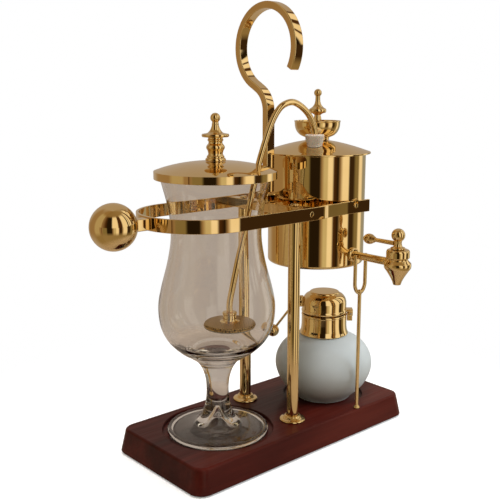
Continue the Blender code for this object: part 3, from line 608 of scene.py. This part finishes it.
def make_base():
    """The wooden plate: sides drawn in towards the top, soft edges, and two round recesses."""
    bottom, top = low("wooden_base"), high("wooden_base")
    length, width = top.x - bottom.x, top.y - bottom.y
    taper, edge = 4.1, 2.6
    side = taper * (top.z - edge - bottom.z) / (top.z - bottom.z)
    levels = [(0.9, bottom.z), (0.3, bottom.z + 0.3), (0.0, bottom.z + 1.0), (side, top.z - edge)]
    for step in range(1, 8):
        turn = math.radians(90.0 * step / 7)
        levels.append((side + edge * (1 - math.cos(turn)), top.z - edge + edge * math.sin(turn)))
    bm = bmesh.new()
    rings = []
    for inset, z in levels:
        outline = rounded_rectangle(length - 2 * inset, width - 2 * inset, 13.0 - inset / 2)
        rings.append([bm.verts.new((x, y, z)) for x, y in outline])
    for lower, upper in zip(rings, rings[1:]):
        for index in range(len(lower)):
            following = (index + 1) % len(lower)
            bm.faces.new((lower[index], lower[following], upper[following], upper[index]))
    bm.faces.new(rings[0][::-1])
    bm.faces.new(rings[-1])
    floor = top.z - RECESS_DEPTH
    cutters = []
    for where, radius in (("glass_beaker", 51.0), ("burner_bowl", 40.0)):
        outline = [(0, floor), *eased([(0, floor), (radius, floor), (radius, top.z - 0.8),
                                       (radius + 0.9, top.z + 0.1), (radius + 0.9, top.z + 3)], 0.6)[1:],
                   (0, top.z + 3)]
        centre = middle(where)
        cutters.append(moved(lathe(outline, 144), (centre.x, centre.y, 0.0)))
    for nut, radius in (("post_nut_front", 7.5), ("post_nut_back", 7.5), ("fork_nut", 3.8)):
        centre = middle(nut)
        outline = [(0, -1.0), (radius, -1.0), (radius, 8.0), (0, 8.0)]
        cutters.append(moved(lathe(outline, 32), (centre.x, centre.y, 0.0)))
    piece("wooden_base", cut(bm, *cutters), wood, sharp=30.0)


def make_posts():
    """The two posts, each standing in its flange."""
    for side in ("front", "back"):
        top, bottom = high("post_" + side).z, high("wooden_base").z
        end = low("post_" + side).z
        profile = [(0, end), (2.6, end), (2.6, bottom + 0.3), (5.6, bottom + 0.3), (5.6, top), (0, top)]
        turned_piece("post_" + side, eased(profile, 0.4), gold_spun, 72)
        flange = [(5.9, 0.0), (12.3, 0.0), (12.3, 0.9), (11.6, 1.7), (9.6, 2.5), (8.2, 3.6), (7.2, 4.9),
                  (5.9, 5.1)]
        turned_piece("post_flange_" + side, eased(flange, 0.55, 3, closed=True), gold, 72)


def make_bridge():
    """The cross bar with its two slotted screws, the hook's collar and the pins that the beam turns on."""
    piece("bridge", softened(box_block("bridge"), 0.7), gold_bar)
    piece("hook_collar", softened(box_block("hook_collar"), 1.0), gold)
    for side in ("front", "back"):
        name = "bridge_screw_" + side
        stem, top, centre = low(name).z, high(name).z, middle(name)
        under = top - 2.4
        screw = lathe(eased([(0, stem), (1.6, stem), (1.6, under), (4.0, under), (4.0, under + 1.2),
                             (2.6, under + 2.1), (0, top)], 0.35), 40)
        slot = block((-5, -0.5, top - 0.8), (5, 0.5, top + 1))
        piece(name, moved(cut(screw, slot), (centre.x, centre.y, 0)), gold)
        name = "pivot_pin_" + side
        length = high(name).y - low(name).y
        pin = [(0, 0), (2.5, 0), (2.5, length), (0, length)]
        turned_piece(name, eased(pin, 0.5), gold, 40, "Y")


def make_hook():
    """The carrying handle: a flat bar bent to an open loop over an S-bend."""
    top = high("hook_handle")
    shank_y = middle("hook_collar").y
    centre = (low("hook_handle").y + HOOK_RADIUS + HOOK_BAR / 2, top.z - HOOK_RADIUS - HOOK_BAR / 2)
    loop = arc(centre, HOOK_RADIUS, 211, -64, 152)
    lean = math.radians(60)
    straight = Vector(loop[-1]) - Vector((math.sin(lean), math.cos(lean))) * 6.5
    radius = (straight.x - shank_y) / (1 - math.cos(lean))
    elbow = (shank_y + radius, straight.y - radius * math.sin(lean))
    foot = high("hook_collar").z + 0.3
    path = loop + arc(elbow, radius, 120, 180, 40) + [(shank_y, foot)]
    handle = prism(ribbon(path, HOOK_BAR), low("hook_handle").x, top.x, "YZ")
    handle = softened(handle, 1.0, 3, 50.0)
    stud_low = low("hook_handle").z
    stud = lathe([(0, stud_low), (2.5, stud_low), (2.5, foot + 2), (0, foot + 2)], 32)
    piece("hook_handle", joined(handle, moved(stud, (0, shank_y, 0))), gold_bar)


def make_fork():
    """The rod that steadies the tap: a stem that opens into two tines."""
    tip, bottom, base = high("fork_rod").z, low("fork_rod").z, high("wooden_base").z
    x, y = middle("fork_rod").x, middle("fork_nut").y
    radius, crotch, depth = 1.75, 150.5, 9.6
    bow = []
    for across, height in arc((0, 0), 1.0, 180, 360, 28):
        bow.append((x + across * FORK_HALF_GAP, y, crotch + height * depth * (1 - 0.10 * abs(across) ** 3)))
    tines = sweep([(x - FORK_HALF_GAP, y, tip - 0.5), *bow, (x + FORK_HALF_GAP, y, tip - 0.5)], radius)
    profile = [(0, bottom), (1.3, bottom), (1.3, base + 0.3), (3.2, base + 0.3), (3.2, base + 1.2),
               (2.5, base + 2.0), (radius, base + 3.0), (radius, 139.0), (2.1, 140.6), (2.2, 142.4),
               (1.4, 143.8), (0, 144.2)]
    stem = moved(lathe(eased(profile, 0.4), 40), (x, y, 0))
    piece("fork_rod", joined(stem, tines), gold)


# -------- glass


def make_glass():
    """The stemmed tulip glass, turned in one closed outline with a hollow foot."""
    foot = 21.3
    hollow = smooth_through([
        (0.0, 46.0), (1.6, 44.6), (4.2, 38.0), (8.0, 31.6), (14.0, 27.4), (22.0, 25.2), (31.0, 23.8),
        (39.0, 22.8), (42.6, foot + 0.3)], 5)
    edge = smooth_through([
        (42.6, foot + 0.3), (44.4, foot), (46.2, foot + 0.9), (46.7, foot + 2.3), (46.0, foot + 3.9),
        (44.2, foot + 4.5), (42.4, foot + 4.0), (39.0, foot + 3.9)], 4)
    side = smooth_through([
        (39.0, foot + 3.9), (28.0, foot + 5.9), (18.6, 32.0), (12.4, 44.0), (10.2, 58.0), (10.8, 71.0),
        (13.6, 81.0), (18.6, 89.0), (26.5, 95.0), (35.5, 101.0), (45.0, 111.0), (50.9, 124.0), (52.5, 141.0),
        (49.8, 157.5), (42.9, 184.6), (40.0, 206.7), (42.2, 229.4), (47.4, 251.0), (49.4, 257.0)], 9)
    rim = arc((48.55, 257.2), 0.85, 0, 180, 8)
    inner = smooth_through([
        (47.7, 257.0), (45.7, 250.6), (40.5, 229.2), (38.4, 206.7), (41.2, 184.8), (48.1, 157.8),
        (50.8, 141.0), (49.2, 124.8), (44.0, 112.6), (36.5, 105.6), (28.5, 103.3), (24.0, 102.9)], 9)
    well = eased([(24.0, 102.9), (21.8, 102.7), (20.6, 100.4), (14.0, 99.9), (0.0, 99.8)], 0.8)
    profile = [*hollow, *edge[1:], *side[1:], *rim[1:-1], *inner, *well[1:]]
    turned_piece("glass_beaker", profile, glass, 144, foot=foot)


def make_glass_lid():
    """The domed lid with its rim band, the slot for the tube, and the turned knob."""
    rim_low = 255.3
    outer = [(54.0, rim_low), (54.0, 262.0)]
    dome = smooth_through([(53.0, 262.4), (46.0, 264.7), (36.0, 267.2), (24.0, 269.2), (12.0, 270.1),
                           (2.0, 270.2)], 6)
    inner = smooth_through([(2.0, 269.0), (12.0, 268.9), (26.0, 267.6), (40.0, 265.0), (50.0, 261.4)], 5)
    profile = eased([(52.4, rim_low), *outer], 0.5, 3) + dome + inner
    profile += [(50.4, 259.3), (46.5, 259.3), (46.5, 258.4), (52.4, 258.4)]
    beaker = middle("glass_beaker")
    body = lathe([(radius, height - rim_low) for radius, height in profile], 144)
    moved(body, (beaker.x, beaker.y, low("glass_lid").z))
    slot = eased([(34.0, -4.6), (60.0, -4.6), (60.0, 4.6), (34.0, 4.6)], 4.4, 6, closed=True)
    slot = prism(slot, low("glass_lid").z - 4, high("glass_lid").z + 8)
    centre = Vector((beaker.x, middle("glass_lid").y, 0.0))
    moved(slot, centre, Matrix.Rotation(math.atan2(-8.2, 42.0), 3, "Z"))
    origin = (centre.x, centre.y, low("glass_lid").z)
    piece("glass_lid", cut(body, slot), gold_spun, origin, sharp=32.0)
    knob = [(0, 270.5), (8.9, 270.5), (9.0, 271.6), (8.5, 272.9), (7.6, 273.2), (7.8, 274.4), (7.0, 275.2)]
    knob += smooth_through([(6.3, 276.6), (6.9, 279.2), (8.1, 281.6), (7.7, 283.6), (6.2, 285.6),
                            (6.1, 287.2)], 4)
    knob += [(6.9, 288.0), (6.9, 288.9), (6.4, 289.4), (6.4, 290.7), (11.5, 291.0), (12.0, 292.3),
             (11.6, 293.6), (7.4, 294.3)]
    knob += smooth_through([(6.2, 295.0), (4.4, 297.3), (3.2, 300.4), (3.0, 302.4)], 4)
    knob += arc((0, 307.3), 4.3, -52, 90, 16)
    turned_piece("lid_finial", eased(knob, 0.35, 2), gold, 72)


# -------- beam


def make_beam():
    """The flat band that bends round the glass and carries the boiler between its two arms."""
    arm = eased([(82.0, ARM_Y - 3.0), (53.0, ARM_Y - 4.2), (23.0, ARM_Y - 2.2), (17.0, ARM_Y),
                 (0.0, ARM_Y)], 2.2, 5)
    bow = arc((BOW_X, 0), ARM_Y, 90, 270, 140)
    path = arm + [(-40.0, ARM_Y)] + bow + [(-40.0, -ARM_Y)] + [(x, -y) for x, y in reversed(arm)]
    bottom, top = low("balance_beam").z, high("balance_beam").z
    band = prism(ribbon(path, BEAM_THICKNESS), bottom, top)
    band = softened(band, 0.45, 3, 50.0)
    pivot, cradle = middle("pivot_pin_front"), middle("trunnion_front")
    mouth = [(-3.6, 5.2), (-2.7, 3.4), *arc((0, 0), 2.7, 180, 360, 16), (2.7, 3.4), (3.6, 5.2), (3.6, 9.0),
             (-3.6, 9.0)]
    upright = Matrix.Rotation(math.radians(90), 3, "X")
    cutters = []
    for sign in (-1, 1):
        near, far = sorted((sign * 40.0, sign * 60.0))
        bore = lathe([(0, near), (2.9, near), (2.9, far), (0, far)], 40, "Y")
        cutters.append(moved(bore, (pivot.x, 0, pivot.z)))
        cutters.append(moved(prism(mouth, -far, -near), (cradle.x, 0, cradle.z), upright))
    piece("balance_beam", cut(band, *cutters), gold_bar, sharp=32.0)
    piece("ball_neck", softened(box_block("ball_neck"), 0.8), gold_bar)
    radius = (high("counterweight_ball").x - low("counterweight_ball").x) / 2
    turned_piece("counterweight_ball", arc((0, 0), radius, -90, 90, 64), gold, 128)


# -------- boiler


def dome_height(radius):
    """Height of the boiler lid's upper side, at a distance from its axis."""
    return 284.0 - 11.2 * (radius / 50.0) ** 1.6


def make_boiler():
    """The turned shell, its domed lid, and the pins that it hangs from."""
    bottom, top = low("boiler_shell").z, high("boiler_shell").z
    radius, inside, floor = BOILER_RADIUS, BOILER_RADIUS - BOILER_WALL, bottom + BOILER_WALL
    outer = [(0, bottom), *arc((radius - 3.0, bottom + 3.0), 3.0, -90, 0, 8), (radius, top)]
    inner = [(inside, top), (inside, bottom + 3.5), (inside - 2.0, floor), (0, floor)]
    turned_piece("boiler_shell", outer + inner, gold_spun, 160)
    base = low("boiler_lid").z
    dome = [(50.6 * step / 20, dome_height(50.6 * step / 20)) for step in range(20, 2, -1)]
    under = [(reach, height - LID_WALL) for reach, height in dome[3:]][::-1]
    profile = eased([(44.5, base), (51.8, base), (51.8, base + 1.4), (51.0, base + 1.75)], 0.4) + dome
    profile += [(7.6, dome_height(7.6)), (7.6, dome_height(7.6) - LID_WALL), *under, (44.5, base + 1.2)]
    turned_piece("boiler_lid", profile, gold_spun, 160)
    seat, boss, length = 3.3, 4.15, 8.0
    for side in ("front", "back"):
        pin = [(0, 0), (1.6, 0), (1.6, seat), (4.2, seat), (4.2, boss), (2.3, boss), (2.3, length),
               (0, length)]
        if side == "front":
            pin = [(reach, length - height) for reach, height in pin][::-1]
        turned_piece("trunnion_" + side, eased(pin, 0.3, 2), gold, 40, "Y")


def make_funnel():
    """The filling cup on the boiler's lid, and the turned plug that closes it."""
    seat, stem = dome_height(8.0) + 0.3, 272.5
    outer = smooth_through([(12.0, seat), (11.2, seat + 1.2), (12.4, seat + 2.4), (15.6, seat + 3.8),
                            (18.6, seat + 6.2), (20.6, seat + 9.3), (21.6, seat + 12.7), (21.9, 299.6)], 4)
    lip = eased([(22.0, 300.6), (22.4, 301.1), (22.2, 301.8), (21.2, 301.8), (20.8, 300.9)], 0.25)
    inner = smooth_through([(20.7, 299.6), (20.2, seat + 12.8), (19.2, seat + 9.6), (17.2, seat + 6.9),
                            (14.4, seat + 4.9), (11.2, seat + 4.4)], 4)
    profile = outer + lip + inner + [(6.9, seat + 4.4), (6.9, stem), (7.6, stem), (7.6, seat)]
    turned_piece("boiler_funnel", profile, gold_spun, 96, foot=stem)
    plug = eased([(0, 277.0), (5.8, 277.0), (5.8, 290.5), (10.2, 290.5), (10.2, 292.0)], 0.4)
    plug += smooth_through([(9.6, 292.5), (6.0, 293.3), (4.3, 295.4), (3.9, 299.0), (3.8, 303.0),
                            (3.2, 306.2)], 4)
    plug += eased([(3.0, 307.2), (5.2, 308.6), (7.8, 309.2), (8.4, 310.6), (8.2, 312.6), (6.2, 313.9)], 0.5)
    plug += smooth_through([(5.2, 314.6), (3.4, 317.0), (2.5, 320.2), (2.3, 323.6)], 4)
    plug += arc((0, 327.9), 3.7, -52, 90, 14)
    turned_piece("fill_plug", plug, gold, 64)


def make_faucet():
    """The tap: a wall flange, a pipe, a turned body, and the key with its acorn lever."""
    flange = [(2.9, 0.0), (5.2, 0.0), (6.6, 1.0), (6.6, 2.6), (2.9, 2.6)]
    turned_piece("faucet_flange", eased(flange, 0.45, 3, closed=True), gold, 56, "Y")
    length = high("faucet_pipe").y - low("faucet_pipe").y
    step = length - 7.1
    pipe = [(1.3, 0.0), (4.2, 0.0), (4.25, 1.6), (3.75, 2.6), (3.6, step * 0.5), (3.5, step), (2.3, step),
            (2.3, length), (1.3, length)]
    turned_piece("faucet_pipe", eased(pipe, 0.4, 2, closed=True), gold, 56, "Y")
    body = eased([(2.0, 157.5), (3.4, 157.5), (3.9, 159.0)], 0.3)
    body += smooth_through([(4.3, 160.4), (6.4, 164.6), (9.6, 169.6), (11.4, 172.2)], 4)
    body += eased([(12.1, 173.2), (12.4, 175.6), (12.1, 177.6), (10.4, 179.2), (9.0, 180.8), (9.0, 181.8),
                   (10.3, 182.4), (10.6, 183.0), (10.6, 188.2), (10.0, 189.6), (8.8, 190.2), (5.4, 190.2),
                   (5.4, 172.0), (2.0, 171.0)], 0.35)
    turned_piece("faucet_body", body, gold, 64)
    key = eased([(0, 172.6), (5.0, 172.6), (5.0, 190.5), (6.6, 190.5), (6.6, 191.7), (4.4, 192.5)], 0.3)
    key += smooth_through([(4.0, 193.0), (3.4, 195.4), (3.6, 197.6)], 4)
    key += arc((0, 203.0), 6.2, -56, 90, 18)
    turned_piece("faucet_key", key, gold, 64)
    lever = eased([(0, 0), (2.2, 0), (2.1, 6.0), (1.9, 21.6), (2.4, 22.6), (2.9, 23.4)], 0.3)
    lever += smooth_through([(3.4, 24.6), (4.5, 26.8), (4.9, 29.5), (4.3, 32.2), (3.0, 34.2), (1.5, 35.5),
                             (0, 35.9)], 4)
    turned_piece("faucet_lever", lever, gold, 48, "Y")


# -------- siphon


def along_tube(distance, height):
    """A point in the tube's upright plane: distance from the stopper towards the filter, and height."""
    stopper, filtered = middle("tube_stopper"), middle("filter_disc")
    heading = Vector((filtered.x - stopper.x, filtered.y - stopper.y)).normalized()
    return (stopper.x + heading.x * distance, stopper.y + heading.y * distance, height)


def make_siphon():
    """The rigid tube from the boiler over into the glass, with its stopper and the filter at its end."""
    reach = (middle("filter_disc").xy - middle("tube_stopper").xy).length
    seat = middle("tube_stopper")
    boiler = middle("boiler_lid")
    cone = [(3.2, 275.0), (6.6, 275.0), (7.2, 280.4), (9.0, 288.6), (8.7, 289.8), (7.8, 290.0), (3.2, 290.0)]
    cone = moved(lathe(eased(cone, 0.4, 3, closed=True), 64), (seat.x, seat.y, 0.0))
    under = [(0, 260.0), (46.0, 260.0)]
    under += [(4.0 * step, dome_height(4.0 * step) + 0.3) for step in range(11, -1, -1)]
    cone = cut(cone, moved(lathe(under, 96), (boiler.x, boiler.y, 0.0)))
    stem = [(3.2, 268.3), (3.8, 268.3), (3.8, 286.0), (3.2, 286.0)]
    stem = moved(lathe(stem, 48), (seat.x, seat.y, 0.0))
    piece("tube_stopper", joined(cone, stem), silicone, (seat.x, seat.y, low("tube_stopper").z))
    bottom = low("filter_disc").z
    stations = [(0, 172.0), (0, 215.0), (0, 260.0), (0, 285.0), (1.6, 298.0), (10.0, 311.0), (24.0, 319.5),
                (36.0, 317.5), (44.0, 310.0), (51.0, 297.5), (57.0, 282.0), (62.5, 266.0), (66.5, 251.0),
                (71.5, 231.0), (77.5, 206.0), (85.0, 179.0), (91.0, 155.0), (reach, 141.0),
                (reach, bottom + 13.0)]
    route = smooth_through([along_tube(*station) for station in stations], 9)
    piece("siphon_tube", sweep(route, TUBE_RADIUS, 36), gold)
    head = [(0, 1.7), (23.2, 1.7), (23.3, 2.4), (22.8, 3.0), (15.0, 3.5), (9.2, 4.2), (7.0, 5.2), (6.3, 6.4),
            (6.2, 10.6), (6.7, 11.0), (6.7, 12.0), (6.1, 12.7), (0, 12.7)]
    top = turned_piece("filter_head", eased(head, 0.35), gold_mesh, 96)
    top.data.materials.append(gold)
    for face in top.data.polygons:
        if face.center.xy.length < 9.0 * MM:
            face.material_index = 1
    disc = [(0, 0), (23.4, 0), (24.0, 0.4), (24.0, 1.0), (23.6, 1.4), (0, 1.4)]
    turned_piece("filter_disc", eased(disc, 0.2), gold_mesh, 96)


# -------- burner


def hinge_turn(bm):
    """Turns a piece made on +X to the hinge's side of the burner."""
    centre = middle("burner_bowl")
    return moved(bm, (centre.x, centre.y, 0.0), Matrix.Rotation(HINGE_HEADING, 3, "Z"))


def make_burner():
    """The spirit lamp: a frosted bowl, its collar, the wick in its tube, and the snuffer."""
    foot = low("burner_bowl").z
    outer = [(0, foot + 1.2), (21.0, foot + 1.2), (22.6, foot + 0.7)]
    outer += smooth_through([(23.6, foot + 0.1), (26.0, foot), (27.6, foot + 0.9), (28.6, 23.8)], 4)
    outer += smooth_through([
        (29.6, 25.2), (35.4, 30.2), (40.8, 36.0), (45.6, 43.6), (48.4, 51.4), (49.0, 58.5), (47.8, 65.4),
        (44.2, 72.9), (39.0, 78.8), (33.0, 83.0), (26.6, 86.0), (22.6, 88.0), (21.0, 91.0), (20.6, 104.0)], 5)
    inner = smooth_through([
        (18.4, 104.0), (18.6, 91.0), (22.0, 85.0), (32.6, 80.0), (42.0, 71.4), (46.2, 58.5),
        (41.8, 44.6), (30.0, 33.4), (16.0, 30.0), (0.0, 29.5)], 5)
    turned_piece("burner_bowl", outer + inner, frosted, 144)
    collar = [(21.4, 90.4), (23.4, 88.2), (24.4, 88.2), (24.6, 88.9), (24.2, 89.7), (23.6, 91.2),
              (23.1, 93.4), (22.8, 96.4), (22.7, 100.4), (22.7, 106.9), (22.9, 107.2), (22.9, 108.4),
              (22.5, 109.0), (5.6, 109.0), (5.6, 107.4), (20.9, 107.4), (21.4, 106.6)]
    turned_piece("burner_collar", eased(collar, 0.35, 2, closed=True), gold_spun, 128)
    tube = [(3.9, 92.0), (5.2, 92.0), (5.2, 109.4), (7.4, 109.4), (7.4, 110.8), (5.2, 111.4), (4.9, 118.0),
            (3.9, 118.0)]
    turned_piece("wick_tube", eased(tube, 0.25, 2, closed=True), gold, 48)
    wick = [(0, 34.0), (3.5, 34.0), (3.5, 120.6), (3.3, 122.0), (2.6, 123.0), (1.2, 123.1), (0, 123.4)]
    turned_piece("wick", eased(wick, 0.4), cotton, 40)
    make_snuffer()


def make_snuffer():
    """The hinged cap with its ears and lever, and the bracket on the collar."""
    outer = eased([(22.3, 110.2), (22.9, 110.9), (23.0, 112.1), (22.7, 113.2), (22.3, 113.7)], 0.3)
    outer += smooth_through([(22.3, 114.4), (22.3, 119.4), (22.0, 122.2), (20.9, 125.2), (18.8, 127.9),
                             (16.3, 129.4), (15.2, 129.8)], 5)
    outer += eased([(15.0, 129.9), (14.9, 130.8), (14.2, 131.5), (12.6, 131.7), (0, 132.0)], 0.4)
    inner = [(0, 130.4), (12.6, 129.6), (16.2, 127.9), (19.2, 124.8), (20.6, 121.6), (20.9, 118.0),
             (20.9, 110.2)]
    centre, pin_z = middle("burner_bowl"), middle("hinge_pin").z
    cap = moved(lathe(outer + inner, 128), (centre.x, centre.y, 0.0))
    ears = []
    for side in (-1, 1):
        near, far = sorted((side * 2.4, side * 4.4))
        ears.append(hinge_turn(softened(block((23.4, near, pin_z - 2.2), (28.8, far, pin_z + 2.9)), 0.6)))
    tie = hinge_turn(softened(block((21.6, -4.4, pin_z + 2.5), (28.8, 4.4, pin_z + 4.6)), 0.5))
    boss = hinge_turn(softened(block((-25.8, -3.0, 115.5), (-21.0, 3.0, 126.5)), 1.0))
    eyes = []
    for height in (117.6, 123.6):
        eye = lathe(eased([(0, -3.8), (1.7, -3.8), (1.7, 3.8), (0, 3.8)], 0.5), 28, "Y")
        eyes.append(hinge_turn(moved(eye, (-24.2, 0.0, height))))
    piece("burner_cap", joined(cap, *ears, tie, boss, *eyes), gold_spun, (centre.x, centre.y, 110.2))
    knob = middle("lever_ball")
    out = Vector((math.cos(HINGE_HEADING), math.sin(HINGE_HEADING), 0.0))
    start = Vector((centre.x, centre.y, 0.0)) - out * 27.2
    start.z = 123.1
    heading = (knob - start).normalized()
    piece("cap_lever", sweep([start, start.lerp(knob, 0.5), knob - heading * 6.4], 1.2, 24), gold)
    radius = (high("lever_ball").z - low("lever_ball").z) / 2
    turned_piece("lever_ball", arc((0, 0), radius, -90, 90, 36), gold, 72)
    bracket = softened(block((23.3, -2.0, 100.5), (28.6, 2.0, pin_z + 1.4)), 0.6)
    piece("hinge_bracket", hinge_turn(bracket), gold)


for make in (make_base, make_posts, make_bridge, make_hook, make_fork, make_glass, make_glass_lid, make_beam,
             make_boiler, make_funnel, make_faucet, make_siphon, make_burner):
    make()

CARRIED = {
    "base_felt": felt,
    "post_nut_front": steel,
    "post_nut_back": steel,
    "fork_nut": steel,
    "hinge_pin": steel,
    "hook_nut": gold,
    "finial_nut": gold,
    "plug_gasket": silicone,
    "filter_cloth": cotton,
}
for name, finish in CARRIED.items():
    mesh = frame["nodes"][name].data
    mesh.materials.clear()
    mesh.materials.append(finish)


# -------- stage, light and camera


def make_floor():
    """A round floor, white where the camera sees it and warm grey in reflections, that fades out."""
    bm = bmesh.new()
    bmesh.ops.create_circle(bm, cap_ends=True, segments=128, radius=FLOOR_RADIUS)
    mesh = bpy.data.meshes.new("floor")
    bm.to_mesh(mesh)
    bm.free()
    floor = bpy.data.objects.new("floor", mesh)
    floor.location.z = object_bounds()[0][2] - 0.0002
    bpy.context.collection.objects.link(floor)
    made, tree, shader = new_material("pale_floor")
    set_inputs(made, {"Base Color": (0.90, 0.93, 0.97, 1.0), "Roughness": 0.75,
                      "Emission Color": (1.0, 1.0, 1.0, 1.0), "Emission Strength": 0.25})
    around = node(tree, "ShaderNodeBsdfPrincipled", {"Base Color": (0.36, 0.30, 0.25, 1.0), "Roughness": 0.8})
    where = node(tree, "ShaderNodeTexCoord")
    reach = node(tree, "ShaderNodeVectorMath", operation="LENGTH")
    link(tree, where, "Object", reach, 0)
    fade = node(tree, "ShaderNodeMapRange", {"From Min": FLOOR_SOLID, "From Max": FLOOR_RADIUS, "To Min": 1.0,
                                             "To Max": 0.0}, interpolation_type="SMOOTHSTEP")
    link(tree, reach, "Value", fade, "Value")
    link(tree, fade, "Result", shader, "Alpha")
    link(tree, fade, "Result", around, "Alpha")
    ray = node(tree, "ShaderNodeLightPath")
    choice = node(tree, "ShaderNodeMixShader")
    link(tree, ray, "Is Camera Ray", choice, 0)
    link(tree, around, "BSDF", choice, 1)
    link(tree, shader, "BSDF", choice, 2)
    link(tree, choice, "Shader", tree.nodes["Material Output"], "Surface")
    mesh.materials.append(made)


def area_light(name, place, aim, size, power, colour=(1.0, 1.0, 1.0)):
    data = bpy.data.lights.new(name, "AREA")
    data.shape = "RECTANGLE"
    data.size, data.size_y = size
    data.energy = power
    data.color = colour
    light = bpy.data.objects.new(name, data)
    light.location = place
    light.rotation_euler = (Vector(aim) - Vector(place)).to_track_quat("-Z", "Y").to_euler()
    light.visible_glossy = False
    light.visible_transmission = False
    bpy.context.collection.objects.link(light)


def panels(tree, share, bands):
    """Upright bands of colour round the object, each stop at a heading in degrees from +X."""
    made = ramp(tree, [((heading + 180.0) / 360.0, colour) for heading, colour in bands])
    link(tree, share, "Result", made, "Fac")
    return made


def make_world():
    """A plain studio: white for the camera, and soft panels with dark gaps for the reflections.

    The panels lie in four belts: below the object, around it, on the slope above it, and overhead.
    """
    world = bpy.data.worlds.new("studio")
    bpy.context.scene.world = world
    world.use_nodes = True
    tree = world.node_tree
    tree.nodes.clear()
    out = node(tree, "ShaderNodeOutputWorld")
    where = node(tree, "ShaderNodeTexCoord")
    parts = node(tree, "ShaderNodeSeparateXYZ")
    link(tree, where, "Generated", parts, "Vector")
    heading = node(tree, "ShaderNodeMath", operation="ARCTAN2")
    link(tree, parts, "Y", heading, 0)
    link(tree, parts, "X", heading, 1)
    share = node(tree, "ShaderNodeMapRange", {"From Min": -math.pi, "From Max": math.pi})
    link(tree, heading, "Value", share, "Value")
    height = node(tree, "ShaderNodeMapRange", {"From Min": -1.0, "From Max": 1.0})
    link(tree, parts, "Z", height, "Value")
    tan, amber, olive = (0.46, 0.385, 0.32), (0.35, 0.235, 0.125), (0.26, 0.205, 0.095)
    honey = (0.50, 0.41, 0.25)
    black, umber, bright = (0.020, 0.012, 0.005), (0.085, 0.035, 0.010), (1.05, 0.94, 0.76)
    cream, grey, gap = (0.66, 0.58, 0.38), (0.36, 0.35, 0.30), (0.045, 0.024, 0.010)
    around = [
        (-180, umber), (-175, amber), (-171, olive), (-155, olive), (-150, black), (-129, black),
        (-124, amber), (-118, cream), (-111, cream), (-108, bright), (-99, bright), (-95, umber),
        (-84, black), (-79, amber), (-72, bright), (-57, bright), (-53, gap), (-40, gap), (-32, olive),
        (-22, olive), (-16, bright), (-7, bright), (2, grey), (24, grey), (36, tan), (84, tan),
        (100, amber), (136, amber), (146, honey), (168, honey), (173, amber)]
    below = [(-180, (0.34, 0.25, 0.13)), (-30, (0.30, 0.22, 0.11)), (8, tan), (104, tan),
             (142, (0.32, 0.23, 0.11))]
    slope = [
        (-180, amber), (-160, umber), (-150, black), (-130, black), (-125, bright), (-101, bright),
        (-97, umber), (-80, umber), (-75, bright), (-52, bright), (-49, black), (-45, black),
        (-43.5, bright), (-39, bright), (-38, umber), (-36.5, umber), (-35.5, bright), (-27, bright),
        (-25, umber), (-17, umber), (-15, bright), (2, bright), (6, umber), (9, umber), (12, tan),
        (90, tan), (110, amber), (136, amber), (146, honey), (168, honey)]
    above = [(-180, (0.30, 0.195, 0.085)), (-30, (0.34, 0.24, 0.12)), (20, tan), (100, tan),
             (150, (0.34, 0.22, 0.10))]
    mixed, output = panels(tree, share, around), "Color"
    for bands, start, end, shares in ((below, 0.24, 0.36, (1.0, 0.0)), (slope, 0.53, 0.56, (0.0, 1.0)),
                                      (above, 0.89, 0.94, (0.0, 1.0))):
        panel = panels(tree, share, bands)
        amount = node(tree, "ShaderNodeMapRange", {"From Min": start, "From Max": end,
                                                   "To Min": shares[0], "To Max": shares[1]})
        link(tree, height, "Result", amount, "Value")
        blend = node(tree, "ShaderNodeMix", data_type="RGBA")
        link(tree, amount, "Result", blend, 0)
        link(tree, mixed, output, blend, 6)
        link(tree, panel, "Color", blend, 7)
        mixed, output = blend, 2
    studio = node(tree, "ShaderNodeBackground", {"Strength": 1.0})
    link(tree, mixed, output, studio, "Color")
    white = node(tree, "ShaderNodeBackground", {"Color": (1.0, 1.0, 1.0, 1.0), "Strength": 1.0})
    ray = node(tree, "ShaderNodeLightPath")
    choice = node(tree, "ShaderNodeMixShader")
    link(tree, ray, "Is Camera Ray", choice, 0)
    link(tree, studio, "Background", choice, 1)
    link(tree, white, "Background", choice, 2)
    link(tree, choice, "Shader", out, "Surface")


def make_camera():
    data = bpy.data.cameras.new("camera")
    data.lens = CAMERA_LENS
    data.sensor_width = SENSOR_WIDTH
    camera = bpy.data.objects.new("camera", data)
    camera.location = CAMERA_AT
    forward = Vector((math.sin(CAMERA_HEADING) * math.cos(CAMERA_DIP),
                      math.cos(CAMERA_HEADING) * math.cos(CAMERA_DIP), -math.sin(CAMERA_DIP)))
    camera.rotation_euler = forward.to_track_quat("-Z", "Y").to_euler()
    bpy.context.collection.objects.link(camera)
    bpy.context.scene.camera = camera


make_floor()
make_world()
make_camera()
area_light("key", (-0.9, -0.5, 1.5), (0.0, 0.0, 0.15), (0.9, 0.7), 13.0, (1.0, 0.98, 0.96))
area_light("fill", (1.0, -0.8, 0.7), (0.0, 0.0, 0.12), (0.7, 0.7), 11.0, (0.86, 0.94, 1.0))
area_light("top", (0.0, 0.1, 1.5), (0.0, 0.0, 0.1), (1.2, 1.2), 14.0)
bpy.context.scene.view_settings.view_transform = "Standard"
